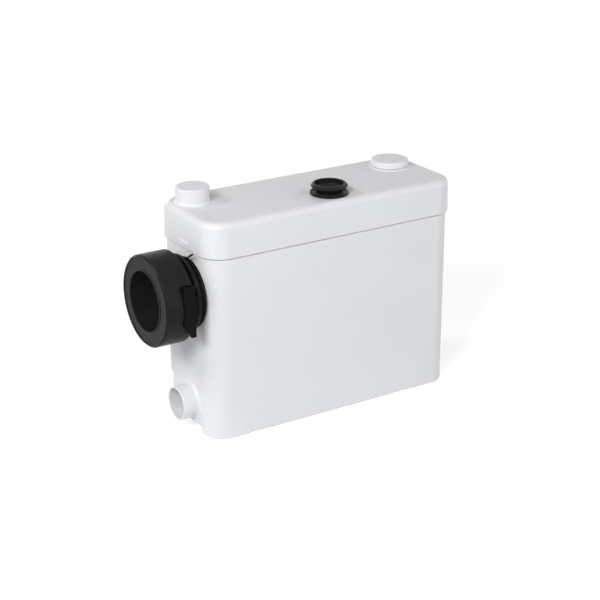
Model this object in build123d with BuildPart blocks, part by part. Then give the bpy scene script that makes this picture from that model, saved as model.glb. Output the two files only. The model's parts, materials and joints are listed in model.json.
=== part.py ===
from build123d import *
import math
import os

os.makedirs("parts", exist_ok=True)

# Sizes in millimetres. The origin is the centre of the tank's footprint on the floor.
# X runs along the tank with the toilet inlet at the low end, Y runs to the back, Z is up.

# Tank and lid
lid_length = 334.0
lid_depth = 124.0
total_height = 257.0
lid_height = 41.0
corner_radius = 27.0
lid_overhang = 2.5
lid_draft = 1.2
lid_top_radius = 8.0
lid_rim_radius = 1.8
seam_gap = 1.0
tank_wall = 3.0
lid_wall = 3.0
floor_underside = 10.5
floor_thickness = 3.5
foot_edge_radius = 1.5
cut_overrun = 2.0

rim_height = total_height - lid_height
body_length = lid_length - 2 * lid_overhang
body_depth = lid_depth - 2 * lid_overhang
body_corner = corner_radius - lid_overhang
body_top = rim_height - seam_gap
inner_length = body_length - 2 * tank_wall
inner_depth = body_depth - 2 * tank_wall
inner_corner = body_corner - tank_wall
floor_top = floor_underside + floor_thickness

# Recess along the lower back for a skirting board
skirting_recess = 5.0
skirting_height = 52.0

# Raised neck of the tank that enters the lid, and the seal on it
neck_clearance = 0.5
neck_rise = 16.0
lid_bore_length = lid_length - 2 * lid_wall
lid_bore_depth = lid_depth - 2 * lid_wall
lid_bore_corner = corner_radius - lid_wall
neck_length = lid_bore_length - 2 * neck_clearance
neck_depth = lid_bore_depth - 2 * neck_clearance
neck_corner = lid_bore_corner - neck_clearance
neck_top = body_top + neck_rise
gasket_thickness = 2.0
gasket_inset = 0.2
lid_crown_inset = 4.0
gasket_top = neck_top + gasket_thickness
crown_top = total_height - lid_wall

# Arch under the left end, drain notches under the front, and rubber feet
arch_height = 9.3
arch_front = -31.0
notch_height = 1.6
notch_length = 28.0
notch_left_inset = 61.0
notch_right_inset = 69.0
notch_positions = (-body_length / 2 + notch_left_inset, body_length / 2 - notch_right_inset)
foot_radius = 9.0
foot_pad_thickness = 4.0
foot_spike_radius = 2.5
foot_spike_height = 4.0
foot_inset_x = 26.0
foot_inset_y = 22.0

# Pry recess on both ends of the lid
pry_length = 27.0
pry_height = 3.7
pry_depth = 2.2
pry_rise = 6.9
pry_center_y = -3.5

# Closed round riser on the lid
riser_inset = 29.5
riser_x = riser_inset - lid_length / 2
riser_y = 27.5
riser_radius = 19.1
riser_rise = 18.4
riser_wall = 2.6
riser_edge = 1.0
riser_root = 1.6

# Vent with its filter and lift-off cap
vent_inset = 36.5
vent_x = lid_length / 2 - vent_inset
vent_y = 24.3
vent_ring_radius = 25.6
vent_ring_height = 1.0
vent_hole_radius = 14.0
vent_collar_wall = 2.0
vent_collar_drop = 14.0
vent_lip_width = 2.2
vent_lip_height = 1.5
vent_cap_radius = 23.3
vent_cap_height = 8.0
vent_cap_shadow = 0.5
vent_cap_wall = 2.0
vent_cap_edge = 2.6
vent_plug_clearance = 0.3
vent_plug_depth = 8.0
vent_notch_width = 3.0
vent_notch_count = 4
filter_height = 6.0
filter_clearance = 0.3

# Place of the motor, which the works around it follow
motor_inset = 92.5
motor_x = body_length / 2 - motor_inset
motor_y = 0.0

# Outlet collar in the middle of the lid
outlet_setback = 64.7
outlet_x = motor_x - outlet_setback
outlet_y = -29.9
outlet_bore = 12.8
outlet_pipe_gap = 0.3
outlet_stop = 5.0
outlet_neck_radius = 15.4
outlet_flange_radius = 22.0
outlet_flange_thickness = 1.4
outlet_lip_height = 1.3
outlet_lip_width = 1.2
outlet_waist_height = 3.7
outlet_waist_radius = 15.2
outlet_cup_radius = 21.1
outlet_cup_height = 12.9
outlet_cup_wall = 4.4
outlet_cup_depth = 5.9
outlet_rim_depth = 3.6
outlet_rim_drop = 2.4
outlet_rim_width = 1.9
outlet_bead_radius = 18.0
outlet_bead_height = 2.6
outlet_tail_drop = 17.0
outlet_seat_gap = 0.1

# Toilet inlet on the left end of the tank
inlet_y = -8.0
inlet_drop = 49.0
inlet_z = body_top - inlet_drop
inlet_bore = 32.8
inlet_wall = 4.2
inlet_reach = 21.0
sleeve_length = 55.8
sleeve_radius = 52.3
sleeve_mouth = 34.3
sleeve_flange_radius = 40.5
sleeve_flange_width = 2.4
sleeve_groove_radius = 38.6
sleeve_inner_groove_end = 9.0
sleeve_ring_end = 13.2
sleeve_ring_radius = 45.4
sleeve_outer_groove_end = 21.0
sleeve_shoulder_round = 1.2
sleeve_edge_chamfer = 1.8
sleeve_face_recess = 0.7
sleeve_face_inner = 36.2
sleeve_face_outer = 48.4
sleeve_ring_round = 1.2

# Band clamp with its screw housing in the outer groove, and the tie in the inner groove
band_thickness = 1.0
band_side_gap = 0.5
band_width = 4.4
housing_width = 14.2
housing_depth = 10.6
housing_height = 59.2
housing_drop = 2.4
housing_front = 53.2
housing_offset = 20.8
housing_round = 1.6
housing_toe = 7.0
housing_heel = 8.0
housing_cut_width = 9.0
housing_cut_height = 15.0
housing_tongue_height = 30.0
housing_tongue_thickness = 3.0
housing_recess_gap = 0.4
clamp_screw_radius = 2.6
clamp_screw_head_radius = 3.6
clamp_screw_head_height = 3.4
clamp_screw_slot_width = 1.2
clamp_screw_slot_depth = 1.4
clamp_screw_clearance = 0.05
clamp_screw_head_clearance = 0.4
clamp_screw_depth = 4.6
tie_thickness = 0.9
tie_side_gap = 0.9
tail_points = ((3.0, 39.1), (-3.2, 41.0), (-9.8, 44.6), (-15.5, 47.8), (-19.5, 50.9))

# Side inlet stub with its check flap
stub_y = -6.0
stub_z = 33.5
stub_radius = 20.0
stub_bore = 17.4
stub_reach = 19.4
stub_root = 3.4
flap_radius = 18.7
flap_thickness = 2.4
flap_seat_gap = 0.3
flap_hinge_rise = 23.5
flap_hinge_offset = 3.4
flap_barrel_radius = 3.0
flap_barrel_length = 16.0
flap_neck_width = 12.0
hinge_pin_radius = 1.5
hinge_clearance = 0.05
hinge_lug_width = 3.5
hinge_lug_gap = 0.4
hinge_lug_reach = 7.2
hinge_lug_half_height = 4.0

# Motor deck on four pillars
deck_underside = 86.0
deck_thickness = 4.0
deck_side_gap = 1.0
deck_end_gap = 2.0
deck_reach = 84.0
deck_left = motor_x - deck_reach
deck_right = inner_length / 2 - deck_end_gap
deck_half_depth = inner_depth / 2 - deck_side_gap
deck_corner = 20.0
pillar_radius = 5.4
pillar_bore = 2.2
pillar_bore_depth = 14.0
pillar_left_setback = 29.0
pillar_left_inset = 8.3
pillar_end_inset = 15.5
pillar_right_inset = 13.5
pillar_left_x = motor_x - pillar_left_setback
pillar_left_y = deck_half_depth - pillar_left_inset
pillar_right_x = deck_right - pillar_end_inset
pillar_right_y = deck_half_depth - pillar_right_inset
deck_screw_radius = 2.2
deck_screw_clearance = 0.5
deck_screw_length = 16.0
deck_screw_head_radius = 4.2
deck_screw_head_height = 2.6
screw_cross_width = 1.0
screw_cross_length = 4.6
screw_cross_depth = 1.3
deck_top = deck_underside + deck_thickness
hub_radius = 13.0
hub_height = 13.0
seal_hub_radius = 13.0
seal_hub_drop = 8.0

# Sealed motor
shaft_radius = 5.0
shaft_clearance = 0.05
shaft_bottom = 23.0
bush_radius = 9.0
bush_height = 12.0
can_side_gap = 8.5
can_radius = deck_half_depth - can_side_gap
can_wall = 2.0
can_drop = 21.0
can_top = body_top - can_drop
can_flange_width = 2.5
can_flange_radius = can_radius + can_flange_width
can_ear_radius = 4.4
can_flange_thickness = 2.0
can_screw_reach = 1.3
can_screw_circle = can_flange_radius + can_screw_reach
can_screw_angle = 0.0
can_screw_count = 4
can_screw_length = 6.0
can_screw_radius = 1.6
can_screw_head_radius = 2.6
can_screw_head_height = 1.8
cover_overhang = 2.0
cover_radius = can_radius + cover_overhang
cover_plate = 3.0
cover_skirt = 5.0
cover_skirt_wall = 2.4
cover_skirt_clearance = 0.2
cover_hub_radius = 13.0
cover_hub_drop = 10.0
cover_hub_rise = 4.0
cover_edge = 1.5
stator_rise = 30.0
stator_drop = 24.0
stator_bottom = deck_top + stator_rise
stator_height = can_top - stator_drop - stator_bottom
stator_bore = 24.6
stator_slots = 12
slot_inner = 27.6
slot_backing = 6.0
slot_outer = can_radius - can_wall - slot_backing
slot_width = 6.0
winding_clearance = 0.3
winding_overhang = 12.0
winding_gap = 1.0
winding_round = 3.0
rotor_radius = 24.0
rotor_ring_height = 6.0
rotor_ring_radius = 22.0
seal_outer = 10.0
seal_height = 6.0
seal_lip = 0.1

# Run capacitor on the deck
capacitor_setback = 71.0
capacitor_x = motor_x + capacitor_setback
capacitor_y = 0.0
capacitor_radius = 13.6
capacitor_height = 62.0
capacitor_edge = 1.5
capacitor_stud_radius = 2.0
capacitor_stud_height = 6.0
capacitor_stud_spacing = 9.0
cup_wall = 1.8
cup_height = 12.0
cup_clearance = 0.3

# Pump under the basket
volute_bottom = 18.0
volute_height = 27.0
volute_radius = 38.5
volute_wall = 2.5
volute_floor = 3.0
screw_circle = 43.5
screw_angle = 10.0
screw_count = 4
ear_radius = 5.4
pump_screw_radius = 2.0
pump_screw_clearance = 0.4
pump_screw_head_radius = 3.8
pump_screw_head_height = 2.4
pump_screw_bite = 3.0
discharge_z = 30.5
discharge_outer = 11.0
discharge_bore = 8.8
discharge_reach = 45.0
discharge_end_x = motor_x - discharge_reach
cover_plate_thickness = 3.0
pump_eye_radius = 11.5
impeller_radius = 27.5
impeller_disc = 3.0
impeller_hub_radius = 9.0
impeller_vane_height = 11.0
impeller_vane_width = 2.4
impeller_vanes = 5
impeller_rise = 3.0
basket_radius = 38.0
basket_wall = 1.6
basket_flange = can_flange_radius
basket_flange_thickness = 1.6
basket_hole_radius = 3.2
basket_hole_rows = 3
basket_hole_count = 20
basket_row_pitch = 10.0
basket_first_row = 9.0
cutter_rise = 5.0
cutter_hub_radius = 9.5
cutter_hub_height = 9.0
cutter_blade_reach = 34.0
cutter_blade_width = 10.0
cutter_blade_thickness = 2.4
cutter_tip_height = 9.0
cutter_tip_width = 2.4

# Discharge with its non-return flap
pipe_outer = 12.1
pipe_bore = 10.6
elbow_wall = 2.5
elbow_bend = 17.0
elbow_socket = 9.0
elbow_rise = 8.0
clip_thickness = 1.0
clip_width = 6.0
clip_edge_gap = 1.5
clip_ear_length = 7.0
clip_ear_thickness = 5.0
chamber_bore = 18.2
chamber_wall = 2.2
chamber_floor = 3.0
chamber_roof = 2.2
chamber_top = 84.0
seat_bore = 8.6
seat_rise = 1.2
seat_wall = 1.6
check_radius = 11.0
check_thickness = 2.2
check_gap = 0.3
check_hinge_offset = 13.2
check_barrel_radius = 2.2
check_barrel_length = 6.0
check_pin_radius = 1.2
check_lug_width = 2.4
check_lug_gap = 0.4
check_neck_width = 6.0
check_barrel_rise = 0.4
deck_pipe_clearance = 0.6
nipple_rise = 12.0

# Level switch on the deck
switch_setback = 64.5
switch_x = motor_x - switch_setback
switch_y = 32.5
bell_radius = 10.0
bell_wall = 1.8
bell_bottom = 22.0
bell_clearance = 0.3
switch_cup_radius = 17.0
switch_cup_height = 11.0
switch_cup_floor = 2.5
membrane_thickness = 1.2
switch_cover_height = 11.0
switch_cover_roof = 2.0
switch_cavity_radius = 13.0
plunger_radius = 2.6
plunger_clearance = 0.08
plunger_head_radius = 8.0
plunger_head_height = 2.0
plunger_head_gap = 0.3
plunger_stroke = 1.2
plunger_spare = 0.6
cradle_width = 2.0
cradle_height = 9.0
cradle_lift = 4.0
micro_length = 22.0
micro_width = 8.0
micro_height = 13.0
micro_tab_width = 4.0
micro_tab_height = 6.0
micro_tab_thickness = 0.8
micro_tab_spacing = 7.0

# Mains lead gland high on the back
gland_inset = 44.5
gland_drop = 20.0
gland_x = body_length / 2 - gland_inset
gland_z = body_top - gland_drop
gland_hole = 7.0
gland_neck = 6.9
gland_flange = 10.5
gland_flange_thickness = 2.6
gland_bore = 3.6
gland_barrel = 12.0
gland_barrel_radius = 6.0
gland_nut_radius = 10.5
gland_nut_thickness = 4.0

wall_x = -body_length / 2
inner_wall_x = -inner_length / 2
big = lid_length + lid_depth
rear_center = -skirting_recess / 2


def polar(radius, angle, cx=0.0, cy=0.0):
    """A point at an angle in degrees on a circle about a centre."""
    a = math.radians(angle)
    return (cx + radius * math.cos(a), cy + radius * math.sin(a))


# Upright planes through each round feature's axis, and a profile plane through the sleeve's
motor_axis = Plane((motor_x, motor_y, 0))
outlet_axis = Plane((outlet_x, outlet_y, 0))
switch_axis = Plane((switch_x, switch_y, 0))
vent_axis = Plane((vent_x, vent_y, 0))
riser_axis = Plane((riser_x, riser_y, 0))
capacitor_axis = Plane((capacitor_x, capacitor_y, 0))
riser_profile = Plane((riser_x, riser_y, 0), x_dir=(1, 0, 0), z_dir=(0, -1, 0))
outlet_profile = Plane((outlet_x, outlet_y, 0), x_dir=(1, 0, 0), z_dir=(0, -1, 0))
inlet_profile = Plane((0, inlet_y, inlet_z), x_dir=(1, 0, 0), z_dir=(0, -1, 0))
inlet_end = Plane((0, inlet_y, inlet_z), x_dir=(0, 1, 0), z_dir=(1, 0, 0))

# Shared bolt patterns
pillar_spots = [
    (pillar_left_x, -pillar_left_y),
    (pillar_left_x, pillar_left_y),
    (pillar_right_x, -pillar_right_y),
    (pillar_right_x, pillar_right_y),
]
pump_screw_spots = [
    polar(screw_circle, screw_angle + k * 360 / screw_count, motor_x, motor_y)
    for k in range(screw_count)
]
can_screw_spots = [
    polar(can_screw_circle, can_screw_angle + k * 360 / can_screw_count, motor_x, motor_y)
    for k in range(can_screw_count)
]


# Tank with its skirt, neck, spigots, pillars and hinge lugs
with BuildPart() as tank:
    with BuildSketch(Plane.XY):
        RectangleRounded(body_length, body_depth, body_corner)
    extrude(amount=body_top)
    with BuildSketch(Plane.XY.offset(-cut_overrun)):
        Rectangle(big, big)
        with Locations((0, rear_center)):
            RectangleRounded(body_length, body_depth - skirting_recess, body_corner, mode=Mode.SUBTRACT)
    extrude(amount=skirting_height + cut_overrun, mode=Mode.SUBTRACT)
    with BuildSketch(Plane.XY.offset(body_top)):
        RectangleRounded(neck_length, neck_depth, neck_corner)
    extrude(amount=neck_rise)
    foot_edges = tank.edges().filter_by_position(Axis.Z, 0, 0)
    fillet(foot_edges, radius=foot_edge_radius)
    with BuildSketch(Plane.XY.offset(skirting_height + tank_wall)):
        RectangleRounded(inner_length, inner_depth, inner_corner)
    extrude(amount=total_height, mode=Mode.SUBTRACT)
    with BuildSketch(Plane.XY.offset(floor_top)):
        with Locations((0, rear_center)):
            RectangleRounded(inner_length, inner_depth - skirting_recess, inner_corner)
    extrude(amount=total_height, mode=Mode.SUBTRACT)
    with BuildSketch(Plane.XY.offset(-cut_overrun)):
        with Locations((0, rear_center)):
            RectangleRounded(inner_length, inner_depth - skirting_recess, inner_corner)
    extrude(amount=floor_underside + cut_overrun, mode=Mode.SUBTRACT)
    # Pads under the floor that carry the rubber feet
    with BuildSketch(Plane.XY.offset(foot_pad_thickness)):
        with Locations((0, rear_center)):
            with GridLocations(body_length - 2 * foot_inset_x, body_depth - 2 * foot_inset_y, 2, 2):
                Circle(foot_radius)
    extrude(amount=floor_underside - foot_pad_thickness)
    # Arch at the left end and shallow drain notches at the front
    with BuildSketch(Plane.XY.offset(-cut_overrun)):
        with Locations((wall_x, arch_front)):
            Rectangle(
                2 * tank_wall + 2 * cut_overrun,
                2 * corner_radius,
                align=(Align.CENTER, Align.MIN),
            )
    extrude(amount=arch_height + cut_overrun, mode=Mode.SUBTRACT)
    with BuildSketch(Plane.XY.offset(-cut_overrun)):
        for notch_x in notch_positions:
            with Locations((notch_x, -body_depth / 2)):
                Rectangle(notch_length, 2 * tank_wall + 2 * cut_overrun)
    extrude(amount=notch_height + cut_overrun, mode=Mode.SUBTRACT)
    # Toilet inlet spigot and side inlet stub
    with BuildSketch(Plane.YZ.offset(inner_wall_x)):
        with Locations((inlet_y, inlet_z)):
            Circle(inlet_bore + inlet_wall)
        with Locations((stub_y, stub_z)):
            Circle(stub_radius)
    extrude(amount=-tank_wall)
    with BuildSketch(Plane.YZ.offset(wall_x)):
        with Locations((inlet_y, inlet_z)):
            Circle(inlet_bore + inlet_wall)
    extrude(amount=-inlet_reach)
    with BuildSketch(Plane.YZ.offset(wall_x)):
        with Locations((stub_y, stub_z)):
            Circle(stub_radius)
    extrude(amount=-stub_reach)
    with BuildSketch(Plane.XZ.offset(-stub_y)):
        with BuildLine():
            Line((wall_x, stub_z + stub_radius), (wall_x, stub_z + stub_radius + stub_root))
            RadiusArc(
                (wall_x, stub_z + stub_radius + stub_root),
                (wall_x - stub_root, stub_z + stub_radius),
                -stub_root,
            )
            Line((wall_x - stub_root, stub_z + stub_radius), (wall_x, stub_z + stub_radius))
        make_face()
    revolve(axis=Axis((wall_x, stub_y, stub_z), (1, 0, 0)))
    with BuildSketch(Plane.YZ.offset(inner_wall_x + cut_overrun)):
        with Locations((inlet_y, inlet_z)):
            Circle(inlet_bore)
    extrude(amount=-(tank_wall + inlet_reach + 2 * cut_overrun), mode=Mode.SUBTRACT)
    with BuildSketch(Plane.YZ.offset(inner_wall_x + cut_overrun)):
        with Locations((stub_y, stub_z)):
            Circle(stub_bore)
    extrude(amount=-(tank_wall + stub_reach + 2 * cut_overrun), mode=Mode.SUBTRACT)
    # Pillars for the motor deck
    with BuildSketch(Plane.XY.offset(floor_underside)):
        with Locations(*pillar_spots):
            Circle(pillar_radius)
    extrude(amount=deck_underside - floor_underside)
    with BuildSketch(Plane.XY.offset(deck_underside - pillar_bore_depth)):
        with Locations(*pillar_spots):
            Circle(pillar_bore)
    extrude(amount=pillar_bore_depth + cut_overrun, mode=Mode.SUBTRACT)
    # Spike holes for the rubber feet
    with BuildSketch(Plane.XY.offset(-cut_overrun)):
        with Locations((0, rear_center)):
            with GridLocations(body_length - 2 * foot_inset_x, body_depth - 2 * foot_inset_y, 2, 2):
                Circle(foot_spike_radius)
    extrude(amount=cut_overrun + foot_pad_thickness + foot_spike_height, mode=Mode.SUBTRACT)
    # Lugs inside the left wall for the side inlet flap
    hinge_x = inner_wall_x + flap_seat_gap + flap_hinge_offset
    hinge_z = stub_z + flap_hinge_rise
    lug_offset = flap_barrel_length / 2 + hinge_lug_gap + hinge_lug_width / 2
    with BuildSketch(Plane.XZ.offset(-stub_y)):
        with Locations((inner_wall_x - tank_wall / 2, hinge_z)):
            Rectangle(
                hinge_lug_reach + tank_wall / 2,
                2 * hinge_lug_half_height,
                align=(Align.MIN, Align.CENTER),
            )
        with Locations((hinge_x, hinge_z)):
            Circle(hinge_pin_radius, mode=Mode.SUBTRACT)
    extrude(amount=lug_offset + hinge_lug_width / 2, both=True)
    with BuildSketch(Plane.XZ.offset(-stub_y)):
        with Locations((inner_wall_x, hinge_z)):
            Rectangle(
                hinge_lug_reach + cut_overrun,
                2 * hinge_lug_half_height + cut_overrun,
                align=(Align.MIN, Align.CENTER),
            )
    extrude(amount=lug_offset - hinge_lug_width / 2, both=True, mode=Mode.SUBTRACT)
    # Gland hole high in the back wall
    with BuildSketch(Plane.XZ.offset(-body_depth / 2 - cut_overrun)):
        with Locations((gland_x, gland_z)):
            Circle(gland_hole)
    extrude(amount=tank_wall + 2 * cut_overrun, mode=Mode.SUBTRACT)
tank.part.label = "tank"
export_step(tank.part, "parts/tank.step")

# Rubber feet pressed into the pads
with BuildPart() as foot_pads:
    with BuildSketch(Plane.XY):
        with Locations((0, rear_center)):
            with GridLocations(body_length - 2 * foot_inset_x, body_depth - 2 * foot_inset_y, 2, 2):
                Circle(foot_radius)
    extrude(amount=foot_pad_thickness)
    with BuildSketch(Plane.XY.offset(foot_pad_thickness)):
        with Locations((0, rear_center)):
            with GridLocations(body_length - 2 * foot_inset_x, body_depth - 2 * foot_inset_y, 2, 2):
                Circle(foot_spike_radius)
    extrude(amount=foot_spike_height)
foot_pads.part.label = "foot_pads"
export_step(foot_pads.part, "parts/foot_pads.step")

# Lid with its riser, vent ring, outlet hole and pry recesses
with BuildPart() as lid:
    with BuildSketch(Plane.XY.offset(rim_height)):
        RectangleRounded(lid_length, lid_depth, corner_radius)
    extrude(amount=lid_height, taper=lid_draft)
    fillet(lid.edges().filter_by_position(Axis.Z, total_height, total_height), radius=lid_top_radius)
    fillet(lid.edges().filter_by_position(Axis.Z, rim_height, rim_height), radius=lid_rim_radius)
    with BuildSketch(riser_axis.offset(total_height - lid_top_radius)):
        Circle(riser_radius)
    extrude(amount=lid_top_radius + riser_rise)
    fillet(
        lid.edges().filter_by_position(
            Axis.Z, total_height + riser_rise, total_height + riser_rise
        ),
        radius=riser_edge,
    )
    with BuildSketch(riser_profile):
        with BuildLine():
            Line((riser_radius, total_height), (riser_radius + riser_root, total_height))
            RadiusArc(
                (riser_radius + riser_root, total_height),
                (riser_radius, total_height + riser_root),
                riser_root,
            )
            Line((riser_radius, total_height + riser_root), (riser_radius, total_height))
        make_face()
    revolve(axis=Axis((riser_x, riser_y, 0), (0, 0, 1)))
    with BuildSketch(vent_axis.offset(total_height)):
        Circle(vent_ring_radius)
    extrude(amount=vent_ring_height)
    # Hollow of the lid: a straight bore over the neck, then a narrower crown
    with BuildSketch(Plane.XY.offset(rim_height - cut_overrun)):
        RectangleRounded(lid_bore_length, lid_bore_depth, lid_bore_corner)
    extrude(amount=gasket_top - rim_height + cut_overrun, mode=Mode.SUBTRACT)
    with BuildSketch(Plane.XY.offset(crown_top)):
        RectangleRounded(
            lid_bore_length - 2 * lid_crown_inset,
            lid_bore_depth - 2 * lid_crown_inset,
            lid_bore_corner - lid_crown_inset,
        )
    extrude(amount=-(crown_top - gasket_top + cut_overrun), mode=Mode.SUBTRACT)
    with BuildSketch(riser_axis.offset(crown_top - cut_overrun)):
        Circle(riser_radius - riser_wall)
    extrude(
        amount=riser_rise + lid_wall - riser_wall + cut_overrun,
        mode=Mode.SUBTRACT,
    )
    # Vent collar and its inward lip that holds the filter
    with BuildSketch(vent_axis.offset(crown_top)):
        Circle(vent_hole_radius + vent_collar_wall)
    extrude(amount=-vent_collar_drop)
    with BuildSketch(vent_axis.offset(total_height + vent_ring_height + cut_overrun)):
        Circle(vent_hole_radius)
    extrude(
        amount=-(
            cut_overrun
            + vent_ring_height
            + lid_wall
            + vent_collar_drop
            - vent_lip_height
        ),
        mode=Mode.SUBTRACT,
    )
    with BuildSketch(vent_axis.offset(total_height)):
        Circle(vent_hole_radius - vent_lip_width)
    extrude(amount=-(lid_wall + vent_collar_drop + cut_overrun), mode=Mode.SUBTRACT)
    # Outlet hole
    with BuildSketch(outlet_axis.offset(crown_top - cut_overrun)):
        Circle(outlet_neck_radius + outlet_seat_gap)
    extrude(amount=lid_wall + 2 * cut_overrun, mode=Mode.SUBTRACT)
    # Pry recess on each end: a hollow cone under a flat ceiling, its axis outside the wall
    pry_away = (pry_length * pry_length / (4 * pry_depth) - pry_depth) / 2
    for side in (-1, 1):
        outer = side * lid_length / 2
        pry_x = outer + side * pry_away
        with BuildSketch(Plane.XZ.offset(-pry_center_y)):
            with BuildLine():
                Polyline(
                    (pry_x, rim_height + pry_rise),
                    (outer, rim_height + pry_rise),
                    (outer - side * pry_depth, rim_height + pry_rise + pry_height),
                    (pry_x, rim_height + pry_rise + pry_height),
                    close=True,
                )
            make_face()
        revolve(axis=Axis((pry_x, pry_center_y, 0), (0, 0, 1)), mode=Mode.SUBTRACT)
lid.part.label = "lid"
export_step(lid.part, "parts/lid.step")

# Seal between the tank neck and the lid
with BuildPart() as lid_gasket:
    with BuildSketch(Plane.XY.offset(neck_top)):
        RectangleRounded(
            neck_length - 2 * gasket_inset,
            neck_depth - 2 * gasket_inset,
            neck_corner - gasket_inset,
        )
        RectangleRounded(inner_length, inner_depth, inner_corner, mode=Mode.SUBTRACT)
    extrude(amount=gasket_thickness)
lid_gasket.part.label = "lid_gasket"
export_step(lid_gasket.part, "parts/lid_gasket.step")

# Vent cap: a low round cap with a slotted plug
cap_base = total_height + vent_ring_height
cap_top = cap_base + vent_cap_height
with BuildPart() as vent_cap:
    with BuildSketch(vent_axis.offset(cap_base)):
        Circle(vent_cap_radius)
    extrude(amount=vent_cap_height)
    fillet(vent_cap.edges().filter_by_position(Axis.Z, cap_top, cap_top), radius=vent_cap_edge)
    with BuildSketch(vent_axis.offset(cap_base - cut_overrun)):
        Circle(vent_cap_radius - vent_cap_wall)
    extrude(amount=vent_cap_height - vent_cap_wall + cut_overrun, mode=Mode.SUBTRACT)
    with BuildSketch(vent_axis.offset(cap_top - vent_cap_wall)):
        Circle(vent_hole_radius - vent_plug_clearance)
        Circle(vent_hole_radius - vent_plug_clearance - vent_cap_wall, mode=Mode.SUBTRACT)
    extrude(amount=-(vent_cap_height - vent_cap_wall + vent_ring_height + vent_plug_depth))
    with BuildSketch(vent_axis.offset(cap_base - cut_overrun)):
        Circle(vent_cap_radius + cut_overrun)
        Circle(vent_cap_radius - vent_cap_wall / 2, mode=Mode.SUBTRACT)
    extrude(amount=cut_overrun + vent_cap_shadow, mode=Mode.SUBTRACT)
    with BuildSketch(vent_axis.offset(cap_base + vent_cap_wall)):
        with PolarLocations(vent_hole_radius, vent_notch_count):
            Rectangle(3 * vent_cap_wall, vent_notch_width)
    extrude(
        amount=-(vent_cap_wall + vent_ring_height + vent_plug_depth + cut_overrun),
        mode=Mode.SUBTRACT,
    )
vent_cap.part.label = "vent_cap"
export_step(vent_cap.part, "parts/vent_cap.step")

# Filter pad under the vent cap
filter_base = crown_top - vent_collar_drop + vent_lip_height
with BuildPart() as vent_filter:
    with BuildSketch(vent_axis.offset(filter_base)):
        Circle(vent_hole_radius - filter_clearance)
    extrude(amount=filter_height)
vent_filter.part.label = "vent_filter"
export_step(vent_filter.part, "parts/vent_filter.step")

# Outlet collar turned about its own axis
cup_underside = total_height + outlet_cup_height - outlet_rim_depth
flange_top = total_height + outlet_flange_thickness
pipe_top = crown_top - outlet_stop
tail_bore = pipe_outer + outlet_pipe_gap
cup_top = total_height + outlet_cup_height
cup_mouth = outlet_cup_radius - outlet_cup_wall
with BuildPart() as outlet_grommet:
    with BuildSketch(outlet_profile):
        with BuildLine():
            Polyline(
                (tail_bore, crown_top - outlet_tail_drop),
                (outlet_neck_radius, crown_top - outlet_tail_drop),
                (outlet_neck_radius, crown_top - outlet_bead_height),
                (outlet_bead_radius, crown_top - outlet_bead_height),
                (outlet_bead_radius, crown_top),
                (outlet_neck_radius, crown_top),
                (outlet_neck_radius, total_height),
                (outlet_flange_radius, total_height),
                (outlet_flange_radius, flange_top + outlet_lip_height),
                (outlet_flange_radius - outlet_lip_width, flange_top + outlet_lip_height),
                (outlet_flange_radius - 2 * outlet_lip_width, flange_top),
                (outlet_waist_radius, flange_top),
                (outlet_waist_radius, total_height + outlet_waist_height),
                (outlet_cup_radius, cup_underside),
                (outlet_cup_radius, cup_top - outlet_rim_drop),
                (cup_mouth + outlet_rim_width, cup_top),
                (cup_mouth, cup_top),
                (cup_mouth, cup_top - outlet_cup_depth),
                (outlet_bore, total_height + outlet_waist_height),
                (outlet_bore, pipe_top + outlet_pipe_gap),
                (tail_bore, pipe_top + outlet_pipe_gap),
                close=True,
            )
        make_face()
    revolve(axis=Axis((outlet_x, outlet_y, 0), (0, 0, 1)))
outlet_grommet.part.label = "outlet_grommet"
export_step(outlet_grommet.part, "parts/outlet_grommet.step")

# Toilet inlet sleeve with two grooves, a ring between them and a pocket for the clamp
shoulder_x = wall_x - sleeve_outer_groove_end
face_x = wall_x - sleeve_length
housing_left = wall_x - housing_offset - housing_width
housing_face_y = inlet_y - housing_front
housing_back_y = housing_face_y + housing_depth
housing_z = inlet_z - housing_drop
with BuildPart() as inlet_sleeve:
    with BuildSketch(inlet_profile):
        with BuildLine():
            Polyline(
                (wall_x, inlet_bore + inlet_wall),
                (wall_x, sleeve_flange_radius),
                (wall_x - sleeve_flange_width, sleeve_flange_radius),
                (wall_x - sleeve_flange_width, sleeve_groove_radius),
                (wall_x - sleeve_inner_groove_end, sleeve_groove_radius),
                (wall_x - sleeve_inner_groove_end, sleeve_ring_radius - sleeve_ring_round),
                (wall_x - sleeve_inner_groove_end - sleeve_ring_round, sleeve_ring_radius),
                (wall_x - sleeve_ring_end + sleeve_ring_round, sleeve_ring_radius),
                (wall_x - sleeve_ring_end, sleeve_ring_radius - sleeve_ring_round),
                (wall_x - sleeve_ring_end, sleeve_groove_radius),
                (shoulder_x, sleeve_groove_radius),
                (shoulder_x, sleeve_radius - sleeve_shoulder_round),
                (shoulder_x - sleeve_shoulder_round / 3, sleeve_radius - sleeve_shoulder_round / 3),
                (shoulder_x - sleeve_shoulder_round, sleeve_radius),
                (face_x + sleeve_edge_chamfer, sleeve_radius),
                (face_x, sleeve_radius - sleeve_edge_chamfer),
                (face_x, sleeve_face_outer),
                (face_x + sleeve_face_recess, sleeve_face_outer),
                (face_x + sleeve_face_recess, sleeve_face_inner),
                (face_x, sleeve_face_inner),
                (face_x, sleeve_mouth),
                (wall_x - inlet_reach, sleeve_mouth),
                (wall_x - inlet_reach, inlet_bore + inlet_wall),
                close=True,
            )
        make_face()
    revolve(axis=Axis((0, inlet_y, inlet_z), (1, 0, 0)))
    with BuildSketch(Plane.YZ.offset(housing_left - housing_recess_gap)):
        with Locations((housing_back_y + housing_recess_gap, housing_z)):
            Rectangle(
                sleeve_radius,
                housing_height + 2 * housing_recess_gap,
                align=(Align.MAX, Align.CENTER),
            )
    extrude(amount=shoulder_x - housing_left + housing_recess_gap, mode=Mode.SUBTRACT)
inlet_sleeve.part.label = "inlet_sleeve"
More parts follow.
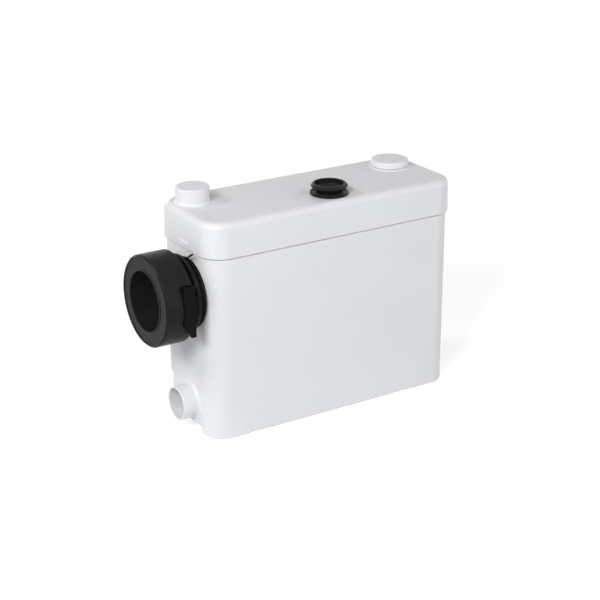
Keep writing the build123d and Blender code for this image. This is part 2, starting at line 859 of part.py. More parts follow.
export_step(inlet_sleeve.part, "parts/inlet_sleeve.step")

# Clamp band in the outer groove
band_right = wall_x - sleeve_ring_end - band_side_gap
with BuildPart() as clamp_band:
    with BuildSketch(Plane.YZ.offset(band_right)):
        with Locations((inlet_y, inlet_z)):
            Circle(sleeve_groove_radius + band_thickness)
            Circle(sleeve_groove_radius, mode=Mode.SUBTRACT)
    extrude(amount=-band_width)
clamp_band.part.label = "clamp_band"
export_step(clamp_band.part, "parts/clamp_band.step")

# Screw housing of the clamp: an upright block with a sloping toe and a tongue over the band
housing_top = housing_z + housing_height / 2
housing_bottom = housing_z - housing_height / 2
screw_x = housing_left + housing_width / 2
screw_y = housing_face_y + housing_depth / 2
screw_axis = Plane((screw_x, screw_y, 0))
with BuildPart() as clamp_housing:
    with BuildSketch(Plane.YZ.offset(housing_left)):
        with BuildLine():
            Polyline(
                (housing_face_y, housing_top),
                (housing_back_y, housing_top),
                (housing_back_y, housing_bottom + housing_heel),
                (housing_face_y + housing_toe, housing_bottom),
                (housing_face_y, housing_bottom),
                close=True,
            )
        make_face()
    extrude(amount=housing_width)
    outer_edges = clamp_housing.edges().filter_by_position(
        Axis.Y, housing_face_y, housing_face_y
    )
    fillet(outer_edges, radius=housing_round)
    with BuildSketch(Plane.XZ.offset(-housing_back_y - cut_overrun)):
        with BuildLine():
            Polyline(
                (housing_left - cut_overrun, housing_bottom - cut_overrun),
                (housing_left - cut_overrun, housing_bottom + housing_cut_height),
                (housing_left, housing_bottom + housing_cut_height),
                (housing_left + housing_cut_width, housing_bottom),
                (housing_left + housing_cut_width, housing_bottom - cut_overrun),
                close=True,
            )
        make_face()
    extrude(amount=housing_depth + 2 * cut_overrun, mode=Mode.SUBTRACT)
    with BuildSketch(Plane.YZ.offset(housing_left + housing_width / 2)):
        with Locations((housing_back_y, housing_z)):
            Rectangle(
                housing_tongue_thickness,
                housing_tongue_height,
                align=(Align.MAX, Align.CENTER),
            )
    extrude(amount=band_right - housing_left - housing_width / 2)
    with BuildSketch(Plane.YZ.offset(band_right)):
        with Locations((housing_back_y - housing_tongue_thickness, housing_z)):
            Rectangle(
                sleeve_radius - sleeve_groove_radius,
                housing_tongue_height,
                align=(Align.MIN, Align.CENTER),
            )
    extrude(amount=-band_width)
    with BuildSketch(Plane.YZ.offset(shoulder_x)):
        with Locations((inlet_y, inlet_z)):
            Circle(sleeve_groove_radius + band_thickness)
    extrude(amount=band_right - shoulder_x + cut_overrun, mode=Mode.SUBTRACT)
    with BuildSketch(screw_axis.offset(housing_top + cut_overrun)):
        Circle(clamp_screw_head_radius + clamp_screw_head_clearance)
    extrude(amount=-(clamp_screw_depth + cut_overrun), mode=Mode.SUBTRACT)
    with BuildSketch(screw_axis.offset(housing_top)):
        Circle(clamp_screw_radius + clamp_screw_clearance)
    extrude(amount=-(housing_height - housing_heel - housing_toe / 2), mode=Mode.SUBTRACT)
clamp_housing.part.label = "clamp_housing"
export_step(clamp_housing.part, "parts/clamp_housing.step")

# Tightening screw with a slotted head
screw_seat = housing_top - clamp_screw_depth
screw_tip = housing_top - housing_height + housing_heel + housing_toe
with BuildPart() as clamp_screw:
    with BuildSketch(screw_axis.offset(screw_tip)):
        Circle(clamp_screw_radius)
    extrude(amount=screw_seat - screw_tip)
    with BuildSketch(screw_axis.offset(screw_seat)):
        Circle(clamp_screw_head_radius)
    extrude(amount=clamp_screw_head_height)
    with BuildSketch(screw_axis.offset(screw_seat + clamp_screw_head_height - clamp_screw_slot_depth)):
        Rectangle(2 * clamp_screw_head_radius + cut_overrun, clamp_screw_slot_width)
    extrude(amount=clamp_screw_slot_depth + cut_overrun, mode=Mode.SUBTRACT)
clamp_screw.part.label = "clamp_screw"
export_step(clamp_screw.part, "parts/clamp_screw.step")

# Tie in the inner groove with its free tail standing off at the top
tie_width = sleeve_inner_groove_end - sleeve_flange_width - 2 * tie_side_gap
with BuildPart() as sleeve_tie:
    with BuildSketch(inlet_end.offset(wall_x - sleeve_flange_width - tie_side_gap)):
        Circle(sleeve_groove_radius + tie_thickness)
        with BuildLine():
            Spline(*tail_points)
        trace(line_width=tie_thickness)
        Circle(sleeve_groove_radius, mode=Mode.SUBTRACT)
    extrude(amount=-tie_width)
sleeve_tie.part.label = "sleeve_tie"
export_step(sleeve_tie.part, "parts/sleeve_tie.step")

# Check flap inside the side inlet
flap_face = inner_wall_x + flap_seat_gap
with BuildPart() as side_flap:
    with BuildSketch(Plane.YZ.offset(flap_face)):
        with Locations((stub_y, stub_z)):
            Circle(flap_radius)
        with Locations((stub_y, stub_z + flap_hinge_rise / 2)):
            Rectangle(flap_neck_width, flap_hinge_rise)
    extrude(amount=flap_thickness)
    with BuildSketch(Plane.XZ.offset(-stub_y)):
        with Locations((hinge_x, hinge_z)):
            Circle(flap_barrel_radius)
    extrude(amount=flap_barrel_length / 2, both=True)
    with BuildSketch(Plane.XZ.offset(-stub_y)):
        with Locations((hinge_x, hinge_z)):
            Circle(hinge_pin_radius + hinge_clearance)
    extrude(amount=flap_barrel_length, both=True, mode=Mode.SUBTRACT)
side_flap.part.label = "side_flap"
export_step(side_flap.part, "parts/side_flap.step")

with BuildPart() as side_flap_pin:
    with BuildSketch(Plane.XZ.offset(-stub_y)):
        with Locations((hinge_x, hinge_z)):
            Circle(hinge_pin_radius)
    extrude(amount=lug_offset + hinge_lug_width / 2, both=True)
side_flap_pin.part.label = "side_flap_pin"
export_step(side_flap_pin.part, "parts/side_flap_pin.step")

# Motor deck with its bearing hub, seal hub, capacitor cup and pipe hole
with BuildPart() as motor_deck:
    with BuildSketch(Plane.XY.offset(deck_underside)):
        with Locations(((deck_left + deck_right) / 2, 0)):
            RectangleRounded(deck_right - deck_left, 2 * deck_half_depth, deck_corner)
    extrude(amount=deck_thickness)
    with BuildSketch(motor_axis.offset(deck_top)):
        Circle(hub_radius)
    extrude(amount=hub_height)
    with BuildSketch(motor_axis.offset(deck_underside)):
        Circle(seal_hub_radius)
    extrude(amount=-seal_hub_drop)
    with BuildSketch(capacitor_axis.offset(deck_top)):
        Circle(capacitor_radius + cup_clearance + cup_wall)
        Circle(capacitor_radius + cup_clearance, mode=Mode.SUBTRACT)
    extrude(amount=cup_height)
    with BuildSketch(motor_axis.offset(deck_top + hub_height)):
        Circle(bush_radius)
    extrude(amount=-bush_height, mode=Mode.SUBTRACT)
    with BuildSketch(motor_axis.offset(deck_underside - seal_hub_drop)):
        Circle(seal_outer)
    extrude(amount=seal_height, mode=Mode.SUBTRACT)
    with BuildSketch(Plane.XY.offset(deck_underside - seal_hub_drop - cut_overrun)):
        with Locations((motor_x, motor_y)):
            Circle(shaft_radius + deck_screw_clearance)
        with Locations((outlet_x, outlet_y)):
            Circle(pipe_outer + deck_pipe_clearance)
        with Locations((switch_x, switch_y)):
            Circle(bell_radius + bell_clearance)
        with Locations(*pillar_spots):
            Circle(deck_screw_radius + deck_screw_clearance)
    extrude(
        amount=seal_hub_drop + deck_thickness + hub_height + 2 * cut_overrun,
        mode=Mode.SUBTRACT,
    )
    with BuildSketch(Plane.XY.offset(deck_underside - cut_overrun)):
        with Locations(*pump_screw_spots):
            Circle(pump_screw_radius)
    extrude(amount=pump_screw_bite + cut_overrun, mode=Mode.SUBTRACT)
    with BuildSketch(Plane.XY.offset(deck_top + cut_overrun)):
        with Locations(*can_screw_spots):
            Circle(can_screw_radius)
    extrude(
        amount=-(can_screw_length - can_flange_thickness + cut_overrun),
        mode=Mode.SUBTRACT,
    )
motor_deck.part.label = "motor_deck"
export_step(motor_deck.part, "parts/motor_deck.step")


# Screws that hold the deck to the pillars
with BuildPart() as deck_screws:
    with BuildSketch(Plane.XY.offset(deck_top - deck_screw_length)):
        with Locations(*pillar_spots):
            Circle(deck_screw_radius)
    extrude(amount=deck_screw_length)
    with BuildSketch(Plane.XY.offset(deck_top)):
        with Locations(*pillar_spots):
            Circle(deck_screw_head_radius)
    extrude(amount=deck_screw_head_height)
    with BuildSketch(Plane.XY.offset(deck_top + deck_screw_head_height - screw_cross_depth)):
        with Locations(*pillar_spots):
            Rectangle(screw_cross_length, screw_cross_width)
            Rectangle(screw_cross_width, screw_cross_length)
    extrude(amount=screw_cross_depth, mode=Mode.SUBTRACT)
deck_screws.part.label = "deck_screws"
export_step(deck_screws.part, "parts/deck_screws.step")

# Motor can standing on the deck by its flange
with BuildPart() as motor_can:
    with BuildSketch(motor_axis.offset(deck_top)):
        Circle(can_flange_radius)
        with PolarLocations(can_screw_circle, can_screw_count, start_angle=can_screw_angle):
            Circle(can_ear_radius)
    extrude(amount=can_flange_thickness)
    with BuildSketch(motor_axis.offset(deck_top)):
        Circle(can_radius)
    extrude(amount=can_top - deck_top)
    with BuildSketch(motor_axis.offset(deck_top - cut_overrun)):
        Circle(can_radius - can_wall)
    extrude(amount=can_top - deck_top + 2 * cut_overrun, mode=Mode.SUBTRACT)
    with BuildSketch(Plane.XY.offset(deck_top - cut_overrun)):
        with Locations(*can_screw_spots):
            Circle(can_screw_radius)
    extrude(amount=can_flange_thickness + 2 * cut_overrun, mode=Mode.SUBTRACT)
motor_can.part.label = "motor_can"
export_step(motor_can.part, "parts/motor_can.step")

with BuildPart() as can_screws:
    with BuildSketch(Plane.XY.offset(deck_top + can_flange_thickness)):
        with Locations(*can_screw_spots):
            Circle(can_screw_radius)
    extrude(amount=-can_screw_length)
    with BuildSketch(Plane.XY.offset(deck_top + can_flange_thickness)):
        with Locations(*can_screw_spots):
            Circle(can_screw_head_radius)
    extrude(amount=can_screw_head_height)
can_screws.part.label = "can_screws"
export_step(can_screws.part, "parts/can_screws.step")

# Motor cover with the upper bearing hub
hub_low = can_top - cover_hub_drop
with BuildPart() as motor_cover:
    with BuildSketch(motor_axis.offset(can_top)):
        Circle(cover_radius)
    extrude(amount=cover_plate)
    fillet(
        motor_cover.edges().filter_by_position(
            Axis.Z, can_top + cover_plate, can_top + cover_plate
        ),
        radius=cover_edge,
    )
    with BuildSketch(motor_axis.offset(can_top)):
        Circle(can_radius - can_wall - cover_skirt_clearance)
        Circle(
            can_radius - can_wall - cover_skirt_clearance - cover_skirt_wall,
            mode=Mode.SUBTRACT,
        )
    extrude(amount=-cover_skirt)
    with BuildSketch(motor_axis.offset(hub_low)):
        Circle(cover_hub_radius)
    extrude(amount=cover_hub_drop + cover_plate + cover_hub_rise)
    with BuildSketch(motor_axis.offset(hub_low)):
        Circle(bush_radius)
    extrude(amount=bush_height, mode=Mode.SUBTRACT)
    with BuildSketch(motor_axis.offset(hub_low)):
        Circle(shaft_radius + deck_screw_clearance)
    extrude(amount=bush_height + cover_plate, mode=Mode.SUBTRACT)
motor_cover.part.label = "motor_cover"
export_step(motor_cover.part, "parts/motor_cover.step")

# Bearing bushes
bush_low = deck_top + hub_height - bush_height
with BuildPart() as lower_bush:
    with BuildSketch(motor_axis.offset(bush_low)):
        Circle(bush_radius)
        Circle(shaft_radius + shaft_clearance, mode=Mode.SUBTRACT)
    extrude(amount=bush_height)
lower_bush.part.label = "lower_bush"
export_step(lower_bush.part, "parts/lower_bush.step")

with BuildPart() as upper_bush:
    with BuildSketch(motor_axis.offset(hub_low)):
        Circle(bush_radius)
        Circle(shaft_radius + shaft_clearance, mode=Mode.SUBTRACT)
    extrude(amount=bush_height)
upper_bush.part.label = "upper_bush"
export_step(upper_bush.part, "parts/upper_bush.step")

with BuildPart() as shaft_seal:
    with BuildSketch(motor_axis.offset(deck_underside - seal_hub_drop)):
        Circle(seal_outer)
        Circle(shaft_radius + seal_lip, mode=Mode.SUBTRACT)
    extrude(amount=seal_height)
shaft_seal.part.label = "shaft_seal"
export_step(shaft_seal.part, "parts/shaft_seal.step")

# Stator core and its windings
slot_mid = (slot_inner + slot_outer) / 2
slot_reach = slot_outer - slot_inner
with BuildPart() as stator_core:
    with BuildSketch(motor_axis.offset(stator_bottom)):
        Circle(can_radius - can_wall)
        Circle(stator_bore, mode=Mode.SUBTRACT)
        with PolarLocations(slot_mid, stator_slots):
            Rectangle(slot_reach, slot_width, mode=Mode.SUBTRACT)
    extrude(amount=stator_height)
stator_core.part.label = "stator_core"
export_step(stator_core.part, "parts/stator_core.step")

with BuildPart() as stator_windings:
    with BuildSketch(motor_axis.offset(stator_bottom - winding_gap)):
        with PolarLocations(slot_mid, stator_slots):
            Rectangle(slot_reach - 2 * winding_clearance, slot_width - 2 * winding_clearance)
    extrude(amount=stator_height + 2 * winding_gap)
    with BuildSketch(motor_axis.offset(stator_bottom - winding_gap)):
        Circle(slot_outer)
        Circle(slot_inner, mode=Mode.SUBTRACT)
    extrude(amount=-winding_overhang)
    with BuildSketch(motor_axis.offset(stator_bottom + stator_height + winding_gap)):
        Circle(slot_outer)
        Circle(slot_inner, mode=Mode.SUBTRACT)
    extrude(amount=winding_overhang)
    winding_ends = [
        stator_bottom - winding_gap - winding_overhang,
        stator_bottom + stator_height + winding_gap + winding_overhang,
    ]
    for level in winding_ends:
        fillet(
            stator_windings.edges().filter_by_position(Axis.Z, level, level),
            radius=winding_round,
        )
stator_windings.part.label = "stator_windings"
export_step(stator_windings.part, "parts/stator_windings.step")

# Rotor core on the shaft
with BuildPart() as rotor_core:
    with BuildSketch(motor_axis.offset(stator_bottom)):
        Circle(rotor_radius)
    extrude(amount=stator_height)
    with BuildSketch(motor_axis.offset(stator_bottom - rotor_ring_height)):
        Circle(rotor_ring_radius)
    extrude(amount=stator_height + 2 * rotor_ring_height)
    with BuildSketch(motor_axis.offset(stator_bottom - rotor_ring_height - cut_overrun)):
        Circle(shaft_radius)
    extrude(amount=stator_height + 2 * rotor_ring_height + 2 * cut_overrun, mode=Mode.SUBTRACT)
rotor_core.part.label = "rotor_core"
export_step(rotor_core.part, "parts/rotor_core.step")

shaft_top = hub_low + bush_height
with BuildPart() as motor_shaft:
    with BuildSketch(motor_axis.offset(shaft_bottom)):
        Circle(shaft_radius)
    extrude(amount=shaft_top - shaft_bottom)
motor_shaft.part.label = "motor_shaft"
export_step(motor_shaft.part, "parts/motor_shaft.step")

# Run capacitor with two studs
with BuildPart() as capacitor:
    with BuildSketch(capacitor_axis.offset(deck_top)):
        Circle(capacitor_radius)
    extrude(amount=capacitor_height)
    fillet(
        capacitor.edges().filter_by_position(
            Axis.Z, deck_top + capacitor_height, deck_top + capacitor_height
        ),
        radius=capacitor_edge,
    )
    with BuildSketch(capacitor_axis.offset(deck_top + capacitor_height)):
        with GridLocations(0, capacitor_stud_spacing, 1, 2):
            Circle(capacitor_stud_radius)
    extrude(amount=capacitor_stud_height)
capacitor.part.label = "capacitor"
export_step(capacitor.part, "parts/capacitor.step")

# Pump casing with its tangential outlet and four ears
volute_top = volute_bottom + volute_height
with BuildPart() as volute:
    with BuildSketch(motor_axis.offset(volute_bottom)):
        Circle(volute_radius)
        with PolarLocations(screw_circle, screw_count, start_angle=screw_angle):
            Circle(ear_radius)
        with PolarLocations(screw_circle - ear_radius, screw_count, start_angle=screw_angle):
            Rectangle(2 * ear_radius, 2 * ear_radius)
    extrude(amount=volute_height)
    with BuildSketch(Plane.YZ.offset(motor_x)):
        with Locations((outlet_y, discharge_z)):
            Circle(discharge_outer)
    extrude(amount=-(motor_x - discharge_end_x))
    with BuildSketch(motor_axis.offset(volute_bottom + volute_floor)):
        Circle(volute_radius - volute_wall)
    extrude(amount=volute_height, mode=Mode.SUBTRACT)
    with BuildSketch(Plane.YZ.offset(motor_x)):
        with Locations((outlet_y, discharge_z)):
            Circle(discharge_bore)
    extrude(amount=-(motor_x - discharge_end_x + cut_overrun), mode=Mode.SUBTRACT)
    with BuildSketch(Plane.XY.offset(volute_bottom - cut_overrun)):
        with Locations(*pump_screw_spots):
            Circle(pump_screw_radius + pump_screw_clearance)
    extrude(amount=volute_height + 2 * cut_overrun, mode=Mode.SUBTRACT)
volute.part.label = "volute"
export_step(volute.part, "parts/volute.step")

# Plate that closes the pump and holds its eye
plate_top = volute_top + cover_plate_thickness
with BuildPart() as volute_plate:
    with BuildSketch(motor_axis.offset(volute_top)):
        Circle(volute_radius)
        with PolarLocations(screw_circle, screw_count, start_angle=screw_angle):
            Circle(ear_radius)
        with PolarLocations(screw_circle - ear_radius, screw_count, start_angle=screw_angle):
            Rectangle(2 * ear_radius, 2 * ear_radius)
        Circle(pump_eye_radius, mode=Mode.SUBTRACT)
        with PolarLocations(screw_circle, screw_count, start_angle=screw_angle):
            Circle(pump_screw_radius + pump_screw_clearance, mode=Mode.SUBTRACT)
    extrude(amount=cover_plate_thickness)
volute_plate.part.label = "volute_plate"
export_step(volute_plate.part, "parts/volute_plate.step")

# Open impeller with swept-back vanes
impeller_low = volute_bottom + volute_floor + impeller_rise
with BuildPart() as impeller:
    with BuildSketch(motor_axis.offset(impeller_low)):
        Circle(impeller_radius)
    extrude(amount=impeller_disc)
    with BuildSketch(motor_axis.offset(impeller_low + impeller_disc)):
        Circle(impeller_hub_radius)
        for k in range(impeller_vanes):
            start = polar(shaft_radius, k * 360 / impeller_vanes)
            end = polar(impeller_radius - impeller_vane_width, (k - 1 / 2) * 360 / impeller_vanes)
            with BuildLine():
                RadiusArc(start, end, impeller_radius)
            trace(line_width=impeller_vane_width)
    extrude(amount=impeller_vane_height)
    with BuildSketch(motor_axis.offset(impeller_low - cut_overrun)):
        Circle(shaft_radius)
    extrude(amount=impeller_disc + impeller_vane_height + 2 * cut_overrun, mode=Mode.SUBTRACT)
impeller.part.label = "impeller"
export_step(impeller.part, "parts/impeller.step")

# Perforated grinding basket between the pump and the deck
with BuildPart() as grinding_basket:
    with BuildSketch(motor_axis.offset(plate_top)):
        Circle(basket_radius)
    extrude(amount=deck_underside - plate_top)
    with BuildSketch(motor_axis.offset(deck_underside)):
        Circle(basket_flange)
    extrude(amount=-basket_flange_thickness)
    with BuildSketch(motor_axis.offset(plate_top - cut_overrun)):
        Circle(basket_radius - basket_wall)
    extrude(amount=deck_underside - plate_top + 2 * cut_overrun, mode=Mode.SUBTRACT)
    with BuildSketch(Plane.XY.offset(deck_underside - basket_flange_thickness - cut_overrun)):
        with Locations(*pump_screw_spots):
            Circle(pump_screw_radius + pump_screw_clearance)
    extrude(amount=basket_flange_thickness + 2 * cut_overrun, mode=Mode.SUBTRACT)
    for row in range(basket_hole_rows):
        row_z = plate_top + basket_first_row + row * basket_row_pitch
        for k in range(basket_hole_count // 2):
            turn = (k + (row % 2) / 2) * 360 / basket_hole_count
            with BuildSketch(
                Plane(
                    origin=(motor_x, motor_y, row_z),
                    z_dir=(*polar(1, turn), 0),
                )
            ):
                Circle(basket_hole_radius)
            extrude(amount=basket_flange, both=True, mode=Mode.SUBTRACT)
grinding_basket.part.label = "grinding_basket"
export_step(grinding_basket.part, "parts/grinding_basket.step")

# Two-armed cutter with upturned tips
cutter_low = plate_top + cutter_rise
with BuildPart() as cutter:
    with BuildSketch(motor_axis.offset(cutter_low)):
        Rectangle(2 * cutter_blade_reach, cutter_blade_width)
    extrude(amount=cutter_blade_thickness)
    with BuildSketch(motor_axis.offset(cutter_low)):
        with GridLocations(2 * cutter_blade_reach - cutter_tip_width, 0, 2, 1):
            Rectangle(cutter_tip_width, cutter_blade_width)
    extrude(amount=cutter_tip_height)
    with BuildSketch(motor_axis.offset(cutter_low)):
        Circle(cutter_hub_radius)
    extrude(amount=cutter_hub_height)
    with BuildSketch(motor_axis.offset(cutter_low - cut_overrun)):
        Circle(shaft_radius)
    extrude(amount=cutter_hub_height + 2 * cut_overrun, mode=Mode.SUBTRACT)
cutter.part.label = "cutter"
export_step(cutter.part, "parts/cutter.step")

# Long screws that hang the pump and basket from the deck
with BuildPart() as pump_screws:
    with BuildSketch(Plane.XY.offset(volute_bottom)):
        with Locations(*pump_screw_spots):
            Circle(pump_screw_radius)
    extrude(amount=deck_underside + pump_screw_bite - volute_bottom)
    with BuildSketch(Plane.XY.offset(volute_bottom)):
        with Locations(*pump_screw_spots):
            Circle(pump_screw_head_radius)
    extrude(amount=-pump_screw_head_height)
pump_screws.part.label = "pump_screws"
export_step(pump_screws.part, "parts/pump_screws.step")

# Rubber elbow from the pump outlet up to the check valve
elbow_outer = discharge_outer + elbow_wall
elbow_start = discharge_end_x + elbow_socket
elbow_top = discharge_z + elbow_bend + elbow_rise
with BuildPart() as discharge_elbow:
    with BuildLine():
        elbow_path = Polyline(
            (elbow_start, outlet_y, discharge_z),
            (outlet_x, outlet_y, discharge_z),
            (outlet_x, outlet_y, elbow_top),
        )
        fillet(elbow_path.vertices()[1], radius=elbow_bend)
    with BuildSketch(Plane.YZ.offset(elbow_start)):
        with Locations((outlet_y, discharge_z)):
            Circle(elbow_outer)
            Circle(discharge_outer, mode=Mode.SUBTRACT)
    sweep()
discharge_elbow.part.label = "discharge_elbow"
export_step(discharge_elbow.part, "parts/discharge_elbow.step")

# Check valve body with seat, hinge lugs and two nipples
chamber_low = elbow_top
seat_top = chamber_low + chamber_floor + seat_rise
check_z = seat_top + check_gap + check_thickness / 2 + check_barrel_rise
check_x = outlet_x - check_hinge_offset
check_lug_mid = check_barrel_length / 2 + check_lug_gap + check_lug_width / 2
nipple_low = chamber_low - elbow_rise
with BuildPart() as valve_body:
    with BuildSketch(outlet_axis.offset(chamber_low)):
        Circle(chamber_bore + chamber_wall)
    extrude(amount=chamber_top - chamber_low)
    with BuildSketch(outlet_axis.offset(chamber_low + chamber_floor)):
        Circle(chamber_bore)
    extrude(
        amount=chamber_top - chamber_low - chamber_floor - chamber_roof,
        mode=Mode.SUBTRACT,
    )
    with BuildSketch(outlet_axis.offset(chamber_low + chamber_floor)):
        Circle(seat_bore + seat_wall)
    extrude(amount=seat_rise)
    with BuildSketch(outlet_axis.offset(nipple_low)):
        Circle(discharge_outer)
    extrude(amount=elbow_rise)
    with BuildSketch(outlet_axis.offset(chamber_top)):
        Circle(pipe_bore)
    extrude(amount=nipple_rise)
    with BuildSketch(Plane.XZ.offset(-outlet_y)):
        with Locations((check_x, chamber_low + chamber_floor)):
            Rectangle(
                2 * check_barrel_radius,
                check_z - chamber_low - chamber_floor,
                align=(Align.CENTER, Align.MIN),
            )
        with Locations((check_x, check_z)):
            Circle(check_barrel_radius)
            Circle(check_pin_radius, mode=Mode.SUBTRACT)
    extrude(amount=check_lug_mid + check_lug_width / 2, both=True)
    with BuildSketch(Plane.XZ.offset(-outlet_y)):
        with Locations((check_x, chamber_low + chamber_floor)):
            Rectangle(
                2 * check_barrel_radius,
                check_z - chamber_low - chamber_floor + check_barrel_radius,
                align=(Align.CENTER, Align.MIN),
            )
    extrude(amount=check_lug_mid - check_lug_width / 2, both=True, mode=Mode.SUBTRACT)
    with BuildSketch(outlet_axis.offset(nipple_low - cut_overrun)):
        Circle(seat_bore)
    extrude(
        amount=chamber_top + nipple_rise - nipple_low + 2 * cut_overrun,
        mode=Mode.SUBTRACT,
    )
valve_body.part.label = "valve_body"
export_step(valve_body.part, "parts/valve_body.step")

check_low = seat_top + check_gap
with BuildPart() as check_flap:
    with BuildSketch(Plane.XY.offset(check_low)):
        with Locations((outlet_x, outlet_y)):
            Circle(check_radius)
        with Locations((check_x, outlet_y)):
            Rectangle(check_hinge_offset, check_neck_width, align=(Align.MIN, Align.CENTER))
    extrude(amount=check_thickness)
    with BuildSketch(Plane.XZ.offset(-outlet_y)):
        with Locations((check_x, check_z)):
            Circle(check_barrel_radius)
    extrude(amount=check_barrel_length / 2, both=True)
    with BuildSketch(Plane.XZ.offset(-outlet_y)):
        with Locations((check_x, check_z)):
            Circle(check_pin_radius + hinge_clearance)
    extrude(amount=check_barrel_length, both=True, mode=Mode.SUBTRACT)
check_flap.part.label = "check_flap"
export_step(check_flap.part, "parts/check_flap.step")

with BuildPart() as check_pin:
    with BuildSketch(Plane.XZ.offset(-outlet_y)):
        with Locations((check_x, check_z)):
            Circle(check_pin_radius)
    extrude(amount=check_lug_mid + check_lug_width / 2, both=True)
check_pin.part.label = "check_pin"
export_step(check_pin.part, "parts/check_pin.step")

# Riser pipe up to the outlet collar
with BuildPart() as discharge_pipe:
    with BuildSketch(outlet_axis.offset(chamber_top)):
        Circle(pipe_outer)
        Circle(pipe_bore, mode=Mode.SUBTRACT)
    extrude(amount=pipe_top - chamber_top)
discharge_pipe.part.label = "discharge_pipe"
export_step(discharge_pipe.part, "parts/discharge_pipe.step")

# Clips round both ends of the elbow
with BuildPart() as elbow_clips:
    with BuildSketch(Plane.YZ.offset(elbow_start - clip_edge_gap)):
        with Locations((outlet_y, discharge_z)):
            Circle(elbow_outer + clip_thickness)
            with Locations((-elbow_outer, 0)):
                Rectangle(clip_ear_length, clip_ear_thickness)
            Circle(elbow_outer, mode=Mode.SUBTRACT)
    extrude(amount=-clip_width)
    with BuildSketch(outlet_axis.offset(elbow_top - clip_edge_gap)):
        Circle(elbow_outer + clip_thickness)
        with Locations((-elbow_outer, 0)):
            Rectangle(clip_ear_length, clip_ear_thickness)
        Circle(elbow_outer, mode=Mode.SUBTRACT)
    extrude(amount=-clip_width)
elbow_clips.part.label = "elbow_clips"
export_step(elbow_clips.part, "parts/elbow_clips.step")

# Bell tube of the level switch with its cup on the deck
switch_cup_top = deck_top + switch_cup_height
with BuildPart() as pressure_bell:
    with BuildSketch(switch_axis.offset(bell_bottom)):
        Circle(bell_radius)
    extrude(amount=deck_top + switch_cup_floor - bell_bottom)
    with BuildSketch(switch_axis.offset(deck_top)):
        Circle(switch_cup_radius)
    extrude(amount=switch_cup_height)
    with BuildSketch(switch_axis.offset(deck_top + switch_cup_floor)):
        Circle(switch_cavity_radius)
    extrude(amount=switch_cup_height, mode=Mode.SUBTRACT)
    with BuildSketch(switch_axis.offset(bell_bottom - cut_overrun)):
        Circle(bell_radius - bell_wall)
    extrude(amount=switch_cup_top - bell_bottom + 2 * cut_overrun, mode=Mode.SUBTRACT)
pressure_bell.part.label = "pressure_bell"
export_step(pressure_bell.part, "parts/pressure_bell.step")

with BuildPart() as switch_membrane:
    with BuildSketch(switch_axis.offset(switch_cup_top)):
        Circle(switch_cup_radius)
    extrude(amount=membrane_thickness)
switch_membrane.part.label = "switch_membrane"
export_step(switch_membrane.part, "parts/switch_membrane.step")

cover_low = switch_cup_top + membrane_thickness
cover_high = cover_low + switch_cover_height
micro_low = cover_high + cradle_lift
with BuildPart() as switch_cover:
    with BuildSketch(switch_axis.offset(cover_low)):
        Circle(switch_cup_radius)
    extrude(amount=switch_cover_height)
    with BuildSketch(switch_axis.offset(cover_low)):
        Circle(switch_cavity_radius)
    extrude(amount=switch_cover_height - switch_cover_roof, mode=Mode.SUBTRACT)
    with BuildSketch(switch_axis.offset(cover_high)):
        with GridLocations(0, micro_width + cradle_width, 1, 2):
            Rectangle(micro_length, cradle_width)
        with GridLocations(micro_length - cradle_width, 0, 2, 1):
            Rectangle(cradle_width, micro_width)
    extrude(amount=cradle_lift)
    with BuildSketch(switch_axis.offset(micro_low)):
        with GridLocations(0, micro_width + cradle_width, 1, 2):
            Rectangle(micro_length, cradle_width)
    extrude(amount=cradle_height - cradle_lift)
    with BuildSketch(switch_axis.offset(cover_low)):
        Circle(plunger_radius + plunger_clearance)
    extrude(amount=switch_cover_height + cut_overrun, mode=Mode.SUBTRACT)
switch_cover.part.label = "switch_cover"
export_step(switch_cover.part, "parts/switch_cover.step")

plunger_low = cover_low + plunger_head_gap
with BuildPart() as switch_plunger:
    with BuildSketch(switch_axis.offset(plunger_low)):
        Circle(plunger_head_radius)
    extrude(amount=plunger_head_height)
    with BuildSketch(switch_axis.offset(plunger_low)):
        Circle(plunger_radius)
    extrude(amount=micro_low - plunger_stroke - plunger_spare - plunger_low)
switch_plunger.part.label = "switch_plunger"
export_step(switch_plunger.part, "parts/switch_plunger.step")

with BuildPart() as microswitch:
    with BuildSketch(switch_axis.offset(micro_low)):
        Rectangle(micro_length, micro_width)
    extrude(amount=micro_height)
    with BuildSketch(switch_axis.offset(micro_low + micro_height)):
        with GridLocations(micro_tab_spacing, 0, 3, 1):
            Rectangle(micro_tab_width, micro_tab_thickness)
    extrude(amount=micro_tab_height)
microswitch.part.label = "microswitch"
export_step(microswitch.part, "parts/microswitch.step")

# Cable gland through the back wall
back_y = body_depth / 2
with BuildPart() as cable_gland:
    with BuildSketch(Plane.XZ.offset(-back_y)):
        with Locations((gland_x, gland_z)):
            Circle(gland_flange)
    extrude(amount=-gland_flange_thickness)
    with BuildSketch(Plane.XZ.offset(-back_y)):
        with Locations((gland_x, gland_z)):
            Circle(gland_barrel_radius)
    extrude(amount=-gland_barrel)
    with BuildSketch(Plane.XZ.offset(-back_y)):
        with Locations((gland_x, gland_z)):
            Circle(gland_neck)
    extrude(amount=tank_wall + gland_nut_thickness)
    with BuildSketch(Plane.XZ.offset(-back_y - gland_barrel - cut_overrun)):
        with Locations((gland_x, gland_z)):
            Circle(gland_bore)
    extrude(
        amount=gland_barrel + tank_wall + gland_nut_thickness + 2 * cut_overrun,
        mode=Mode.SUBTRACT,
    )
cable_gland.part.label = "cable_gland"
export_step(cable_gland.part, "parts/cable_gland.step")

